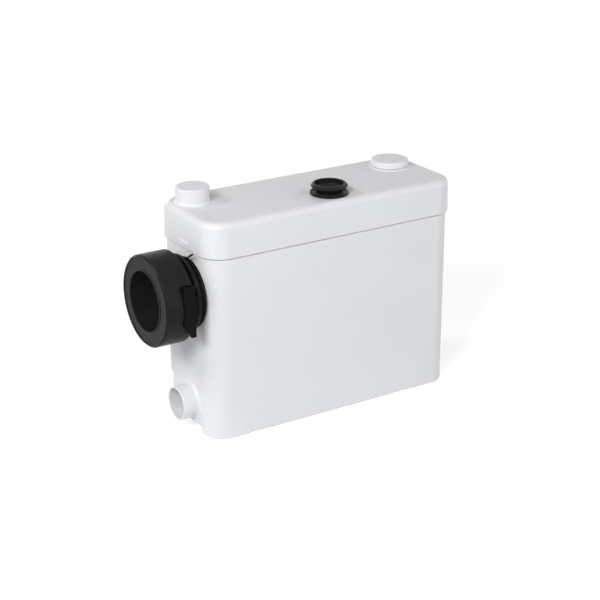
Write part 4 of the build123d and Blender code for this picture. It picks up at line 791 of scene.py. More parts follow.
@dataclass
class TankShell(SubAssembly):
    """The white tank: shell with recessed lower back, neck, stub, spigot and pillars."""

    length: float = 329.0
    depth: float = 119.0
    corner: float = 24.5
    corner_steps: int = 22
    side_steps: int = 12
    round_steps: int = 128
    arc_steps: int = 10
    post_steps: int = 40
    wall: float = 3.0
    top: float = 215.0
    neck_offset: float = 1.0
    neck_top: float = 231.0
    recess: float = 5.0
    recess_top: float = 52.0
    recess_round: float = 1.8
    recess_shares: Pair = (0.3, 0.7)
    wall_run: float = 2.0
    under: float = 10.5
    floor: float = 14.0
    floor_rim: float = 12.0
    floor_round: float = 3.0
    foot_round: float = 1.6
    shoulder_round: float = 0.7
    neck_round: float = 0.5
    edge: float = 0.8
    inlet: Pair = (-8.0, 166.0)
    inlet_bore: float = 32.8
    inlet_outer: float = 37.0
    inlet_reach: float = 12.0
    stub: Pair = (-6.0, 33.5)
    stub_radius: float = 20.0
    stub_bore: float = 17.4
    stub_reach: float = 19.4
    stub_root: float = 3.6
    stub_flare: float = 0.7
    stub_flare_depth: float = 0.6
    stub_flare_out: float = 0.1
    arch: Point = (-31.0, 23.0, 9.3)
    arch_rounds: Pair = (2.5, 1.2)
    notches: Pair = (-103.5, 95.5)
    notch_size: Pair = (28.0, 1.6)
    notch_round: float = 1.2
    pillars: tuple[Pair, ...] = ((43.0, -47.2), (43.0, 47.2), (144.0, -42.0), (144.0, 42.0))
    pillar_radius: float = 5.4
    pillar_top: float = 86.0
    pillar_root: Pair = (1.4, 3.0)
    pillar_bore: Pair = (2.3, 12.0)
    feet: Pair = (138.5, 37.5)
    foot_boss: Pair = (9.0, 4.0)
    lug_size: Point = (9.0, 3.5, 8.0)
    lug_place: Point = (3.1, 10.15, 23.5)
    lug_edges: Pair = (0.8, 0.6)
    gland: Pair = (120.0, 195.0)
    gland_radius: float = 7.0
    gland_steps: int = 48

    def loop(self, offset: float, recess: float) -> np.ndarray:
        """A wall loop set in by an offset, with the back pulled in by the recess."""
        long, deep = self.length - 2 * offset, self.depth - 2 * offset - recess
        corner, steps = self.corner - offset, (self.corner_steps, self.side_steps)
        return rounded_loop(long, deep, corner, *steps, -recess / 2)

    def shell(self) -> Surface:
        """The tank wall: a profile of offset, height and back recess carried round the footprint.

        Returns:
            A closed surface from the underside, up the outside, over the neck and down to the floor.
        """
        wall, neck, step, crisp = self.wall, self.neck_offset, self.recess_round, self.neck_round / 2
        outer, inner = self.recess_top, self.recess_top + self.wall
        low_path = soften(
            [(wall, self.under, 0), (wall, 0, self.edge), (0, 0, self.foot_round), (0, outer, 0)],
            closed=False,
        )
        high_path = soften(
            [(0, outer + step + self.wall_run, 0), (0, self.top, self.shoulder_round),
             (neck, self.top, crisp), (neck, self.neck_top, self.neck_round),
             (wall, self.neck_top, self.neck_round), (wall, inner + self.wall_run, 0)],
            closed=False,
        )
        floor_path = soften(
            [(wall, outer, 0), (wall, self.floor, self.floor_round), (wall + self.floor_rim, self.floor, 0)],
            closed=False,
        )
        arc = np.linspace(0, QUARTER, self.arc_steps - 1)
        rows = [(x, z, self.recess) for x, z in low_path]
        rows += [(0, outer, self.recess - (self.recess - step) * share) for share in self.recess_shares]
        rows += [(0, outer + step * (1 - math.cos(a)), step * (1 - math.sin(a))) for a in arc]
        rows += [(x, z, 0.0) for x, z in high_path]
        rows += [(wall, inner, 0.0), (wall, inner, self.recess)]
        rows += [(x, z, self.recess) for x, z in floor_path]
        return stacked([self.loop(x, r) for x, _, r in rows], [z for _, z, _ in rows])

    def left_end(self, place: Pair, surface: Surface) -> Surface:
        """A turned surface whose axis points out of the left wall at a place in Y and Z."""
        return surface.placed((-self.length / 2, *place), UPWARD, LEFTWARD)

    def stub_solid(self) -> Surface:
        """The side inlet stub with its root fillet."""
        r, reach = self.stub_radius, self.stub_reach
        edge = [(r, self.stub_root, 0), (r, reach, self.shoulder_round), (CORE, reach, 0)]
        tip = soften(edge, closed=False)
        profile = np.vstack([fillet(r, self.stub_root, 0.0, self.arc_steps), tip[1:]])
        return self.left_end(self.stub, lathe(profile, self.round_steps))

    def stub_hole(self) -> Surface:
        """The stub's bore, flared at its mouth."""
        bore, reach, mouth = self.stub_bore, self.stub_reach, self.stub_bore + self.stub_flare
        line = [(bore, -OVERRUN, 0), (bore, reach - self.stub_flare_depth, self.edge),
                (mouth, reach + self.stub_flare_out, 0.3), (mouth, reach + OVERRUN, 0)]
        return self.left_end(self.stub, turned(line, self.round_steps))

    def spigot(self) -> Surface:
        """The inlet spigot that the sleeve grips."""
        line = [(self.inlet_outer, -BITE, 0), (self.inlet_outer, self.inlet_reach, self.edge),
                (CORE, self.inlet_reach, 0)]
        return self.left_end(self.inlet, turned(line, self.round_steps))

    def spigot_hole(self) -> Surface:
        """The spigot's bore."""
        end = self.inlet_reach + OVERRUN
        return self.left_end(self.inlet, hole(self.inlet_bore, -OVERRUN, end, self.round_steps))

    def arch_hole(self) -> Surface:
        """The arch cut under the left end."""
        front, back, height = self.arch
        back_round, front_round = self.arch_rounds
        outline = soften([(front, -OVERRUN, 0), (back, -OVERRUN, 0), (back, height, back_round),
                          (front, height, front_round)])
        return prism(outline, -OVERRUN, OVERRUN).placed((-self.length / 2, 0, 0), BACKWARD, ACROSS)

    def notch_holes(self) -> list[Surface]:
        """The shallow drain notches along the front edge."""
        half, high = self.notch_size[0] / 2, self.notch_size[1]
        outline = soften([(-half, -OVERRUN, 0), (half, -OVERRUN, 0), (half, high, self.notch_round),
                          (-half, high, self.notch_round)])
        notch = prism(outline, -OVERRUN, OVERRUN)
        return [notch.placed((x, -self.depth / 2, 0), ACROSS, FRONTWARD) for x in self.notches]

    def inside_posts(self) -> list[Surface]:
        """The motor deck's pillars, standing on the floor, each with a screw bore."""
        r, top, flare, rise = self.pillar_radius, self.pillar_top, *self.pillar_root
        bore, bottom = self.pillar_bore[0], self.pillar_top - self.pillar_bore[1]
        line = [(r + flare, self.floor - BITE, 0), (r + flare, self.floor, 0), (r, self.floor + rise, 1),
                (r, top, 0.5), (bore, top, 0.2), (bore, bottom, 0), (CORE, bottom, 0)]
        post = turned(line, self.post_steps)
        return [post.placed((x, y, 0)) for x, y in self.pillars]

    def foot_bosses(self) -> list[Surface]:
        """The bosses under the floor that the rubber feet press against."""
        radius, low = self.foot_boss
        boss = turned([(CORE, low, 0), (radius, low, 0.5), (radius, self.under + BITE, 0)], self.post_steps)
        x, y = self.feet
        return [boss.placed((sx * x, sy * y - self.recess / 2, 0)) for sx in (-1, 1) for sy in (-1, 1)]

    def hinge_lugs(self) -> list[Surface]:
        """The two lugs that hold the side inlet flap's pin."""
        inwards, apart, above = self.lug_place
        x, z = -self.length / 2 + self.wall + inwards, self.stub[1] + above
        lug = rounded_box(self.lug_size, *self.lug_edges)
        return [lug.placed((x, self.stub[0] + side * apart, z)) for side in (-1, 1)]

    def build(self) -> None:
        """Makes the tank and sets it in the CAD tank's place."""
        tank = mesh_object("tank_shell", self.shell())
        combine(tank, Cut.JOIN, self.stub_solid(), self.spigot(), *self.inside_posts(), *self.foot_bosses(),
                *self.hinge_lugs())
        gland = hole(self.gland_radius, -OVERRUN, OVERRUN, self.gland_steps)
        combine(tank, Cut.TAKE, self.stub_hole(), self.spigot_hole(), self.arch_hole(), *self.notch_holes(),
                gland.placed((self.gland[0], self.depth / 2, self.gland[1]), ACROSS, BACKWARD))
        shade(tank)
        self.place(tank, "base", "shell_plastic", "tank")


# Lid


@dataclass
class Lid(SubAssembly):
    """The white lid with its riser, vent ring, outlet hole and pry recesses."""

    length: float = 334.0
    depth: float = 124.0
    corner: float = 27.0
    least_corner: float = 2.0
    corner_steps: int = 24
    side_steps: int = 16
    round_steps: int = 128
    arc_steps: int = 12
    riser_steps: int = 8
    wall: float = 3.0
    rim: float = 216.0
    top: float = 257.0
    draft: float = 1.2
    top_round: float = 8.0
    rim_round: float = 1.8
    top_inset: float = 40.0
    bore_top: float = 233.0
    crown_inset: float = 7.0
    crown_round: float = 4.5
    crown_span: float = 30.0
    riser: Pair = (-137.5, 27.5)
    riser_radius: float = 19.1
    riser_rise: float = 18.4
    riser_root: float = 1.9
    riser_edge: float = 1.2
    riser_wall: float = 2.6
    vent: Pair = (130.5, 24.3)
    vent_ring: float = 25.6
    vent_rise: float = 1.0
    vent_collar: Pair = (16.0, 240.0)
    vent_hole: float = 14.0
    vent_lip: Pair = (2.2, 1.5)
    vent_flare: float = 0.8
    vent_flare_levels: Pair = (0.6, 1.2)
    outlet: Pair = (7.3, -29.9)
    outlet_hole: float = 15.5
    pry: Point = (-3.5, 27.0, 2.2)
    pry_levels: Pair = (222.9, 226.6)
    pry_lead: Pair = (1.4, 2.0)
    pry_steps: int = 256
    pry_edge: float = 0.4
    sharp: float = 22.0

    def loop(self, offset: float) -> np.ndarray:
        """A wall loop set in by an offset, with its corners kept open far inside."""
        corner = max(self.corner - offset, self.least_corner)
        long, deep = self.length - 2 * offset, self.depth - 2 * offset
        return rounded_loop(long, deep, corner, self.corner_steps, self.side_steps)

    def lean(self, level: float) -> float:
        """How far the draft has drawn the wall in at a level."""
        return (level - self.rim) * math.tan(math.radians(self.draft))

    def shell(self) -> Surface:
        """The lid's skin: a profile of offset and height carried round the outline.

        Returns:
            A closed surface from the top, down the outside, round the rim and up to the crown.
        """
        wall, crown, ceiling = self.wall, self.crown_inset, self.top - self.wall
        profile = soften(
            [(self.top_inset, self.top, 0), (self.lean(self.top), self.top, self.top_round),
             (0, self.rim, self.rim_round), (wall, self.rim, 0.8), (wall, self.bore_top, 0.4),
             (crown, self.bore_top, 0.6), (crown, ceiling, self.crown_round),
             (crown + self.crown_span, ceiling, 0)],
            closed=False, steps=self.arc_steps,
        )
        return stacked([self.loop(x) for x, _ in profile], profile[:, 1])

    def riser_solid(self) -> Surface:
        """The tall closed riser with a small fillet at its foot."""
        r, root, high = self.riser_radius, self.riser_root, self.top + self.riser_rise
        edge = [(r, self.top + root, 0), (r, high, self.riser_edge), (CORE, high, 0)]
        cap = soften(edge, closed=False, steps=self.riser_steps)
        profile = np.vstack([fillet(r, root, self.top, self.riser_steps), cap[1:]])
        return lathe(profile, self.round_steps).placed((*self.riser, 0))

    def riser_hole(self) -> Surface:
        """The riser's hollow, open to the underside."""
        r, ceiling = self.riser_radius - self.riser_wall, self.top + self.riser_rise - self.riser_wall
        line = [(r, self.top - self.wall - OVERRUN, 0), (r, ceiling, 2), (CORE, ceiling, 0)]
        return turned(line).placed((*self.riser, 0))

    def vent_solid(self) -> Surface:
        """The raised ring round the vent and the collar under it."""
        ring, top, collar, low = self.vent_ring, self.top + self.vent_rise, *self.vent_collar
        sunk = self.top - BITE
        line = [(CORE, low, 0), (collar, low, 0), (collar, sunk, 0), (ring, sunk, 0), (ring, top, 0.5),
                (CORE, top, 0)]
        return turned(line, self.round_steps).placed((*self.vent, 0))

    def vent_hole_solid(self) -> Surface:
        """The vent's hole with the lip that holds the filter."""
        r, low, flare = self.vent_hole, self.vent_collar[1], self.vent_flare
        lip, lip_top = r - self.vent_lip[0], low + self.vent_lip[1]
        start, end = (self.top + level for level in self.vent_flare_levels)
        line = [(lip, low - OVERRUN, 0), (lip, lip_top, 0.2), (r, lip_top, 0.2), (r, start, 0.6),
                (r + flare, end, 0), (r + flare, self.top + OVERRUN, 0)]
        return turned(line).placed((*self.vent, 0))

    def outlet_hole_solid(self) -> Surface:
        """The hole for the outlet collar."""
        cutter = hole(self.outlet_hole, self.top - 2 * OVERRUN, self.top + OVERRUN)
        return cutter.placed((*self.outlet, 0))

    def pry_holes(self) -> list[Surface]:
        """Scooped recesses in both ends: a hollow cone under a flat ceiling, its axis outside the wall.

        Returns:
            One scoop for each end, as wide at its ceiling as the recess is long at the wall.
        """
        middle, long, deep = self.pry
        low, high = self.pry_levels
        inwards, below = self.pry_lead
        both = (long / 2) ** 2 / deep
        wide, away = (both + deep) / 2, (both - deep) / 2
        line = [(CORE, low - below, 0), (away - inwards, low - below, 0), (wide, high - self.pry_edge, 0.3),
                (wide, high, 0.1), (CORE, high, 0)]
        scoop = turned(line, self.pry_steps)
        reach = self.length / 2 - self.lean(high) + away
        return [scoop.placed((side * reach, middle, 0)) for side in (-1, 1)]

    def build(self) -> None:
        """Makes the lid and sets it in the CAD lid's place."""
        lid = mesh_object("lid_shell", self.shell())
        combine(lid, Cut.JOIN, self.riser_solid(), self.vent_solid())
        combine(lid, Cut.TAKE, self.riser_hole(), self.vent_hole_solid(), self.outlet_hole_solid(),
                *self.pry_holes())
        shade(lid, self.sharp)
        self.place(lid, "lid_body", "lid_plastic", "lid")


@dataclass
class VentCap(SubAssembly):
    """The low round cap that plugs into the vent."""

    centre: Pair = (130.5, 24.3)
    radius: float = 22.9
    base: float = 258.0
    top: float = 266.0
    edge: float = 3.4
    crown_share: float = 0.62
    crown_round: float = 12.0
    crown_drop: float = 0.15
    step: Pair = (1.2, 0.75)
    skirt: float = 2.0
    plate: float = 2.2
    plug: Pair = (13.7, 11.7)
    plug_low: float = 249.4
    slot_size: Point = (34.0, 3.0, 12.0)
    slot_edges: Pair = (0.8, 0.4)
    slot_z: float = 254.0
    steps: int = 144

    def build(self) -> None:
        """Makes the cap: a crowned top, a shadow step at its foot and a hollow plug."""
        r, low, top, under = self.radius, self.base, self.top, self.top - self.plate
        inset, step = r - self.step[0], self.base + self.step[1]
        skirt, outer, inner, centre = inset - self.skirt, *self.plug, 0.4
        profile = soften(
            [(centre, top, 0), (r * self.crown_share, top, self.crown_round),
             (r, top - self.crown_drop, self.edge), (r, step, 0.35), (inset, step, 0.2), (inset, low, 0.2),
             (skirt, low, 0.2), (skirt, under, 0.6), (outer, under, 0.4), (outer, self.plug_low, 0.5),
             (inner, self.plug_low, 0.5), (inner, under, 0.6), (centre, under, 0)],
            closed=False,
        )
        ring = lathe(profile[::-1], self.steps, True)
        cap = mesh_object("vent_cap_shell", ring.placed((*self.centre, 0)))
        slot = rounded_box(self.slot_size, *self.slot_edges)
        place = (*self.centre, self.slot_z)
        combine(cap, Cut.TAKE, *(slot.placed(place, way) for way in (ACROSS, BACKWARD)))
        shade(cap)
        self.place(cap, "vent_cap_body", "cap_plastic", "vent_cap")


@dataclass
class OutletCollar(SubAssembly):
    """The black rubber collar in the lid: flange with an upturned lip, waist and cupped mouth."""

    centre: Pair = (7.3, -29.9)
    lid_top: float = 257.0
    flange: float = 22.0
    flange_thick: float = 1.4
    lip: float = 2.7
    lip_radii: Pair = (22.25, 21.0)
    lip_root: float = 19.8
    waist: float = 15.2
    waist_height: float = 3.7
    cup: float = 21.1
    cup_depth: float = 5.9
    rim_depth: float = 3.6
    rim_drop: float = 2.4
    rim_radii: Pair = (18.6, 16.7)
    height: float = 12.9
    bore: float = 12.8
    neck: float = 15.45
    barb: float = 18.0
    barb_levels: Pair = (251.4, 254.0)
    tail: float = 15.4
    tail_bore: float = 12.4
    tail_low: float = 237.0
    tail_top: float = 249.3
    steps: int = 144
    arc_steps: int = 7
    sharp: float = 40.0

    def build(self) -> None:
        """Makes the collar as one turned ring with softened corners."""
        top, mouth, waist_top = self.lid_top, self.lid_top + self.height, self.lid_top + self.waist_height
        plate, lip, rim, cup = top + self.flange_thick, top + self.lip, self.rim_radii, self.cup
        barb_low, barb_high = self.barb_levels
        profile = soften(
            [(self.tail_bore, self.tail_low, 0.4), (self.tail, self.tail_low, 0.8),
             (self.tail, barb_low, 0.3), (self.barb, barb_low, 0.8), (self.barb, barb_high, 0.3),
             (self.neck, barb_high, 0.2),
             (self.neck, top, 0.1), (self.flange, top, 0.5), (self.lip_radii[0], lip, 0.5),
             (self.lip_radii[1], lip, 0.5), (self.lip_root, plate, 0.5), (self.waist, plate, 0.9),
             (self.waist, waist_top, 1.5), (cup, mouth - self.rim_depth, 0.8),
             (cup, mouth - self.rim_drop, 0.7), (rim[0], mouth, 0.7), (rim[1], mouth, 0.5),
             (rim[1], mouth - self.cup_depth, 1.2), (self.bore, waist_top, 0.8),
             (self.bore, self.tail_top, 0.1), (self.tail_bore, self.tail_top, 0.1)],
            steps=self.arc_steps,
        )
        ring = lathe(profile, self.steps, True)
        collar = mesh_object("outlet_collar", ring.placed((*self.centre, 0)))
        shade(collar, self.sharp)
        self.place(collar, "lid_body", "grommet_rubber", "outlet_grommet")


# Toilet inlet


@dataclass
class InletSleeve(SubAssembly):
    """The black sleeve on the left end, with its clamp, screw and tie."""

    axis_y: float = -8.0
    axis_z: float = 166.0
    wall_x: float = -164.5
    reach: float = 55.8
    radius: float = 52.3
    chamfer: float = 1.8
    mouth: float = 34.3
    face_radii: Pair = (48.4, 36.2)
    face_slope: float = 0.4
    face_drop: float = 0.8
    socket: float = 37.0
    socket_depth: float = 12.0
    flange: float = 40.5
    groove: float = 38.6
    ring: float = 45.4
    stations: tuple[float, float, float, float] = (2.4, 9.0, 13.2, 21.0)
    steps: int = 160
    block: Point = (14.2, 10.6, 59.2)
    block_offset: float = 20.8
    block_front: float = 53.2
    block_drop: float = 2.4
    block_edge: float = 0.7
    block_edge_steps: int = 3
    block_angle: float = 50.0
    block_toe: Pair = (7.0, 8.0)
    pocket: Point = (0.25, 0.4, 40.0)
    pocket_side: float = 3.0
    pocket_bend: tuple[Point, ...] = ((-0.25, 15.2, 8.0), (6.8, 2.6, 8.0), (8.8, -0.25, 0.5))
    cut_corner: tuple[Point, ...] = (
        (-3.0, -3.0, 0), (9.0, -3.0, 0), (9.0, 0.0, 0.5), (7.0, 3.0, 9.0), (0.0, 15.0, 9.0), (-3.0, 16.0, 0)
    )
    cut_reach: float = 9.0
    cut_depth: float = 5.0
    band_room: float = 1.05
    band_clear: Pair = (4.0, 20.0)
    band_span: Pair = (13.7, 18.1)
    band_thick: float = 1.0
    tie_span: Pair = (3.3, 8.1)
    tie_thick: float = 0.9
    tongue: Point = (11.0, 3.0, 30.0)
    tongue_edge: float = 0.6
    tongue_shift: Point = (3.3, 1.5, 3.0)
    tongue_foot: Point = (4.4, 12.0, 30.0)
    tail_marks: tuple[Pair, ...] = ((3.0, 39.1), (-3.2, 41.0), (-9.8, 44.6), (-15.5, 47.8), (-19.5, 50.9))
    tail_steps: int = 60
    sharp: float = 35.0
    ring_sharp: float = 40.0
    screw_sharp: float = 30.0
    tail_thick: float = 0.95
    screw: float = 2.6
    screw_low: float = 149.0
    screw_head: float = 3.6
    head_seat: float = 4.5
    head_drop: float = 1.2
    well: Point = (2.75, 4.0, 4.3)
    well_depth: float = 18.0
    well_edge: Pair = (0.3, 0.2)
    seat_gap: float = 0.1
    screw_tip: Pair = (0.6, 0.8)
    screw_steps: int = 64
    slot_size: Point = (10.0, 1.2, 2.8)
    slot_edge: float = 0.2

    def __post_init__(self) -> None:
        """Works out where the clamp's block stands."""
        wide, deep, high = self.block
        self.left = self.wall_x - self.block_offset - wide
        self.front = self.axis_y - self.block_front
        self.back = self.front + deep
        self.middle_z = self.axis_z - self.block_drop
        self.low, self.high = self.middle_z - high / 2, self.middle_z + high / 2
        self.screw_place = (self.left + wide / 2, self.front + deep / 2, 0)

    def on_axis(self, surface: Surface, x_dir: Point = UPWARD, z_dir: Point = LEFTWARD) -> Surface:
        """A surface laid where the sleeve's axis meets the tank wall."""
        return surface.placed((self.wall_x, self.axis_y, self.axis_z), x_dir, z_dir)

    def build_sleeve(self) -> None:
        """Makes the sleeve: flange, two grooves, the ring between, the cylinder and its clamp pocket."""
        groove, face, radius, ring = self.groove, self.reach, self.radius, self.ring
        flange_end, ring_start, ring_end, shoulder = self.stations
        outer, inner = self.face_radii
        sunk, slope = face - self.face_drop, self.face_slope
        profile = soften(
            [(self.socket, 0, 0.2), (self.flange, 0, 0.3), (self.flange, flange_end, 0.5),
             (groove, flange_end, 0.3), (groove, ring_start, 0.5), (ring, ring_start, 0.9),
             (ring, ring_end, 1.1), (groove, ring_end, 0.5), (groove, shoulder, 0.5),
             (radius, shoulder, 1.3), (radius, face - self.chamfer, 0.7),
             (radius - self.chamfer, face, 0.6), (outer, face, 0.25), (outer - slope, sunk, 0.35),
             (inner + slope, sunk, 0.35), (inner, face, 0.25), (self.mouth, face, 0.7),
             (self.mouth, self.socket_depth, 0.3), (self.socket, self.socket_depth, 0.3)],
            steps=8,
        )
        sleeve = mesh_object("sleeve", self.on_axis(lathe(profile[::-1], self.steps, True)))
        gap, back_gap, out = self.pocket
        side, top = self.block[0] + self.pocket_side, self.block[2] + gap
        outline = soften([(-gap, top, 0.8), *self.pocket_bend, (side, -gap, 0.5), (side, top, 0.5)])
        place = (self.left, self.back + back_gap, self.low)
        combine(sleeve, Cut.TAKE, prism(outline, 0.0, out).placed(place, ACROSS, FRONTWARD))
        shade(sleeve, self.sharp)
        self.place(sleeve, "base", "black_rubber", "inlet_sleeve")

    def build_block(self) -> None:
        """Makes the screw housing with its tongue, cut corner and screw well."""
        front, back, low, high = self.front, self.back, self.low, self.high
        outline = soften([(front, high, 2.2), (front, low, 1.6), (front + self.block_toe[0], low, 1.2),
                          (back, low + self.block_toe[1], 1.6), (back, high, 1.0)])
        block = prism(outline, 0, self.block[0]).placed((self.left, 0, 0), BACKWARD, ACROSS)
        body = mesh_object("clamp_block", block)
        corner = prism(soften(self.cut_corner), -self.cut_reach, self.cut_reach)
        combine(body, Cut.TAKE, corner.placed((self.left, back - self.cut_depth, low), ACROSS, FRONTWARD))
        band_x = self.wall_x - sum(self.band_span) / 2
        edge, (shift, sunk, out) = self.tongue_edge, self.tongue_shift
        tongue, foot = (rounded_box(size, edge, edge) for size in (self.tongue, self.tongue_foot))
        combine(body, Cut.JOIN, tongue.placed((band_x - shift, back - sunk, self.middle_z)),
                foot.placed((band_x, back + out, self.middle_z)))
        around = self.on_axis(hole(self.groove + self.band_room, *self.band_clear, self.steps))
        bore, seat, mouth = self.well
        seat_z = high - self.head_seat - self.seat_gap
        below, above = self.well_edge
        well = turned([(bore, self.axis_z - self.well_depth, 0), (bore, seat_z, 0), (seat, seat_z, 0.2),
                       (seat, high - below, 0.3), (mouth, high + above, 0), (mouth, high + OVERRUN, 0)],
                      self.screw_steps)
        combine(body, Cut.TAKE, around, well.placed(self.screw_place))
        soft = body.modifiers.new("soft", "BEVEL")
        soft.width = self.block_edge * MM
        soft.segments = self.block_edge_steps
        soft.limit_method = "ANGLE"
        soft.angle_limit = math.radians(self.block_angle)
        settle(body)
        shade(body, self.sharp)
        self.place(body, "base", "black_plastic", "clamp_housing")

    def groove_ring(self, name: str, span: Pair, thick: float, edge: float) -> bpy.types.Object:
        """A flat ring lying in one of the sleeve's grooves.

        Args:
            name: The piece's name.
            span: Where it starts and ends, from the tank wall.
            thick: Its thickness.
            edge: Radius of its outer edges.

        Returns:
            The ring's object.
        """
        inner, outer = self.groove, self.groove + thick
        profile = soften([(inner, span[0], 0.2), (outer, span[0], edge), (outer, span[1], edge),
                          (inner, span[1], 0.2)], steps=4)
        return mesh_object(name, self.on_axis(lathe(profile[::-1], self.steps, True)))

    def build_band(self) -> None:
        """Makes the clamp's band."""
        band = self.groove_ring("band", self.band_span, self.band_thick, 0.35)
        shade(band, self.ring_sharp)
        self.place(band, "base", "band_steel", "clamp_band")

    def build_screw(self) -> None:
        """Makes the clamp's slotted screw."""
        r, head, low = self.screw, self.screw_head, self.screw_low
        inwards, upwards = self.screw_tip
        seat, top = self.high - self.head_seat, self.high - self.head_drop
        rod = turned([(CORE, low, 0), (r - inwards, low, 0.3), (r, low + upwards, 0.3), (r, seat, 0.2),
                      (head, seat, 0.3), (head, top, 0.8), (CORE, top, 0)], self.screw_steps)
        screw = mesh_object("screw", rod.placed(self.screw_place))
        slot = rounded_box(self.slot_size, self.slot_edge, self.slot_edge)
        combine(screw, Cut.TAKE, slot.placed((*self.screw_place[:2], top)))
        shade(screw, self.screw_sharp)
        self.place(screw, "clamp_screw_body", "band_steel", "clamp_screw")

    def build_tie(self) -> None:
        """Makes the tie in the inner groove and its free tail."""
        tie = self.groove_ring("tie", self.tie_span, self.tie_thick, 0.3)
        marks = np.array(self.tail_marks)
        t = np.linspace(0, len(marks) - 1, self.tail_steps)
        path = np.column_stack([smooth_curve(marks[:, k], t) for k in (0, 1)])
        tail = ribbon(path, self.tail_thick, -self.tie_span[1], -self.tie_span[0])
        combine(tie, Cut.JOIN, self.on_axis(tail, BACKWARD, ACROSS))
        shade(tie, self.ring_sharp)
        self.place(tie, "base", "tie_plastic", "sleeve_tie")

    def build(self) -> None:
        """Makes every piece of the inlet."""
        self.build_sleeve()
        self.build_block()
        self.build_band()
        self.build_screw()
        self.build_tie()


# Studio


@dataclass(frozen=True)
class Lamp:
    """A square soft lamp aimed at the pump, with its side and distance in metres and its power in watts."""

    name: str
    towards: Point
    size: float
    power: float
    far: float = 2.4
    aim_height: float = 0.13

    def build(self) -> None:
        """Hangs the lamp in the scene."""
        data = bpy.data.lights.new(self.name, "AREA")
        data.shape = "SQUARE"
        data.size = self.size
        data.energy = self.power
        direction = Vector(self.towards).normalized()
        obj = bpy.data.objects.new(self.name, data)
        obj.location = direction * self.far + Vector((0, 0, self.aim_height))
        obj.rotation_mode = "QUATERNION"
        obj.rotation_quaternion = direction.to_track_quat("Z", "Y")
        bpy.context.scene.collection.objects.link(obj)


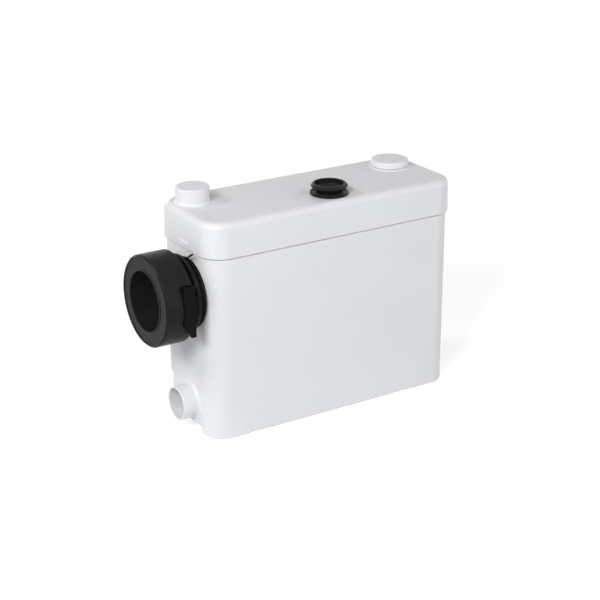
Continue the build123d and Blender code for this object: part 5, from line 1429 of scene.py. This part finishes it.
@dataclass
class Studio:
    """Floor, lamps and camera."""

    focal_px: float = 1575.6
    image_px: float = 600.0
    sensor: float = 36.0
    azimuth: float = 32.705
    pitch: float = 21.319
    shift_right: float = 10.73
    shift_up: float = -110.68
    distance: float = 1900.5
    clip_metres: Pair = (0.05, 50.0)
    surround: float = 0.06
    surround_colour: Colour = (0.985, 0.99, 1.0)
    floor_reach: float = 5200.0
    floor_steps: int = 128
    floor_colours: tuple[Colour, Colour] = ((0.80, 0.81, 0.82), (0.82, 0.83, 0.84))
    floor_glow: float = 0.62
    fade_start: float = 0.30
    fade_length: float = 0.9
    lamps: tuple[Lamp, ...] = (
        Lamp("key", (-1.0, -0.7, 0.8), 0.7, 34.0),
        Lamp("left", (-1.0, 0.3, 0.8), 0.7, 14.0),
        Lamp("front", (0.45, -1.0, 0.45), 2.0, 15.8),
        Lamp("right", (1.0, -0.3, 0.5), 1.6, 11.2),
        Lamp("back", (0.1, 1.0, 0.12), 1.0, 8.0),
    )

    def camera(self) -> None:
        """Sets the camera that was fitted to the photograph's lines."""
        turn, tilt = math.radians(self.azimuth), math.radians(self.pitch)
        flat = math.cos(tilt)
        ahead = Vector((math.sin(turn) * flat, math.cos(turn) * flat, -math.sin(tilt)))
        right = Vector((math.cos(turn), -math.sin(turn), 0.0))
        up = right.cross(ahead)
        data = bpy.data.cameras.new("camera")
        data.sensor_width = self.sensor
        data.lens = self.focal_px * self.sensor / self.image_px
        data.clip_start, data.clip_end = self.clip_metres
        cam = bpy.data.objects.new("camera", data)
        turned = Matrix((right, up, -ahead)).transposed().to_4x4()
        turned.translation = -(right * self.shift_right + up * self.shift_up + ahead * self.distance) * MM
        cam.matrix_world = turned
        bpy.context.scene.collection.objects.link(cam)
        bpy.context.scene.camera = cam

    def world(self) -> None:
        """A dim surround that is seen and mirrored as plain white."""
        world = bpy.data.worlds.new("surround")
        bpy.context.scene.world = world
        world.use_nodes = True
        nodes, links = world.node_tree.nodes, world.node_tree.links
        nodes.clear()
        dim, white = nodes.new("ShaderNodeBackground"), nodes.new("ShaderNodeBackground")
        dim.inputs["Color"].default_value = rgba(self.surround_colour)
        dim.inputs["Strength"].default_value = self.surround
        white.inputs["Color"].default_value = rgba((1.0, 1.0, 1.0))
        path = nodes.new("ShaderNodeLightPath")
        first, both = nodes.new("ShaderNodeMath"), nodes.new("ShaderNodeMath")
        first.operation = both.operation = "MAXIMUM"
        mixed, out = nodes.new("ShaderNodeMixShader"), nodes.new("ShaderNodeOutputWorld")
        links.new(path.outputs["Is Camera Ray"], first.inputs[0])
        links.new(path.outputs["Is Glossy Ray"], first.inputs[1])
        links.new(first.outputs[0], both.inputs[0])
        links.new(path.outputs["Is Transmission Ray"], both.inputs[1])
        for socket, source in enumerate((both, dim, white)):
            links.new(source.outputs[0], mixed.inputs[socket])
        links.new(mixed.outputs[0], out.inputs["Surface"])

    def floor(self) -> None:
        """A wide pale floor that keeps the pump's soft shadow and fades to plain white around it."""
        angle = np.linspace(0, TURN, self.floor_steps, endpoint=False)
        circle = np.column_stack([np.cos(angle), np.sin(angle), 0 * angle])
        floor = mesh_object("floor", Surface(self.floor_reach * circle, [list(range(self.floor_steps))]))
        t = Tree("floor_paint")
        at = t.coordinates()
        slow = t.noise(at, scale=3.0, detail=2.0)
        paint = t.mixed(slow, *(rgba(colour) for colour in self.floor_colours))
        matt = t.node("ShaderNodeBsdfDiffuse", {"Color": paint}, "BSDF")
        away = t.node("ShaderNodeVectorMath", {0: at}, "Value", operation="LENGTH")
        far = ((away - self.fade_start) / self.fade_length).clamped()
        near_glow, far_glow = (
            t.node("ShaderNodeEmission", {"Color": rgba((1, 1, 1)), "Strength": glow}, "Emission")
            for glow in (self.floor_glow, 1.0)
        )
        bright = t.node("ShaderNodeAddShader", {0: matt, 1: near_glow})
        spread = t.node("ShaderNodeMixShader", {0: far, 1: bright, 2: far_glow})
        camera, glossy, through = (
            t.node("ShaderNodeLightPath", {}, f"Is {name} Ray")
            for name in ("Camera", "Glossy", "Transmission")
        )
        seen = (camera + glossy + through).clamped()
        floor.data.materials.append(t.finish(t.node("ShaderNodeMixShader", {0: seen, 1: matt, 2: spread})))

    def build(self) -> None:
        """Sets the whole studio."""
        self.camera()
        self.world()
        self.floor()
        for lamp in self.lamps:
            lamp.build()
        bpy.context.scene.view_settings.view_transform = "Standard"


def dress_cad(finishes: Finishes) -> None:
    """Gives every CAD node the finish of its slot.

    Args:
        finishes: The finishes by slot.
    """
    for entry in frame["record"]["subparts"]:
        finishes.dress(frame["nodes"][entry["node"]], entry["material_slot"])


def main() -> None:
    """Builds the studio and every piece, in order."""
    logging.basicConfig(level=logging.INFO, format="%(name)s: %(message)s")
    Studio().build()
    finishes = Finishes()
    dress_cad(finishes)
    for group in (TankShell, Lid, VentCap, OutletCollar, InletSleeve):
        group(finishes).build()


if __name__ == "__main__":
    main()
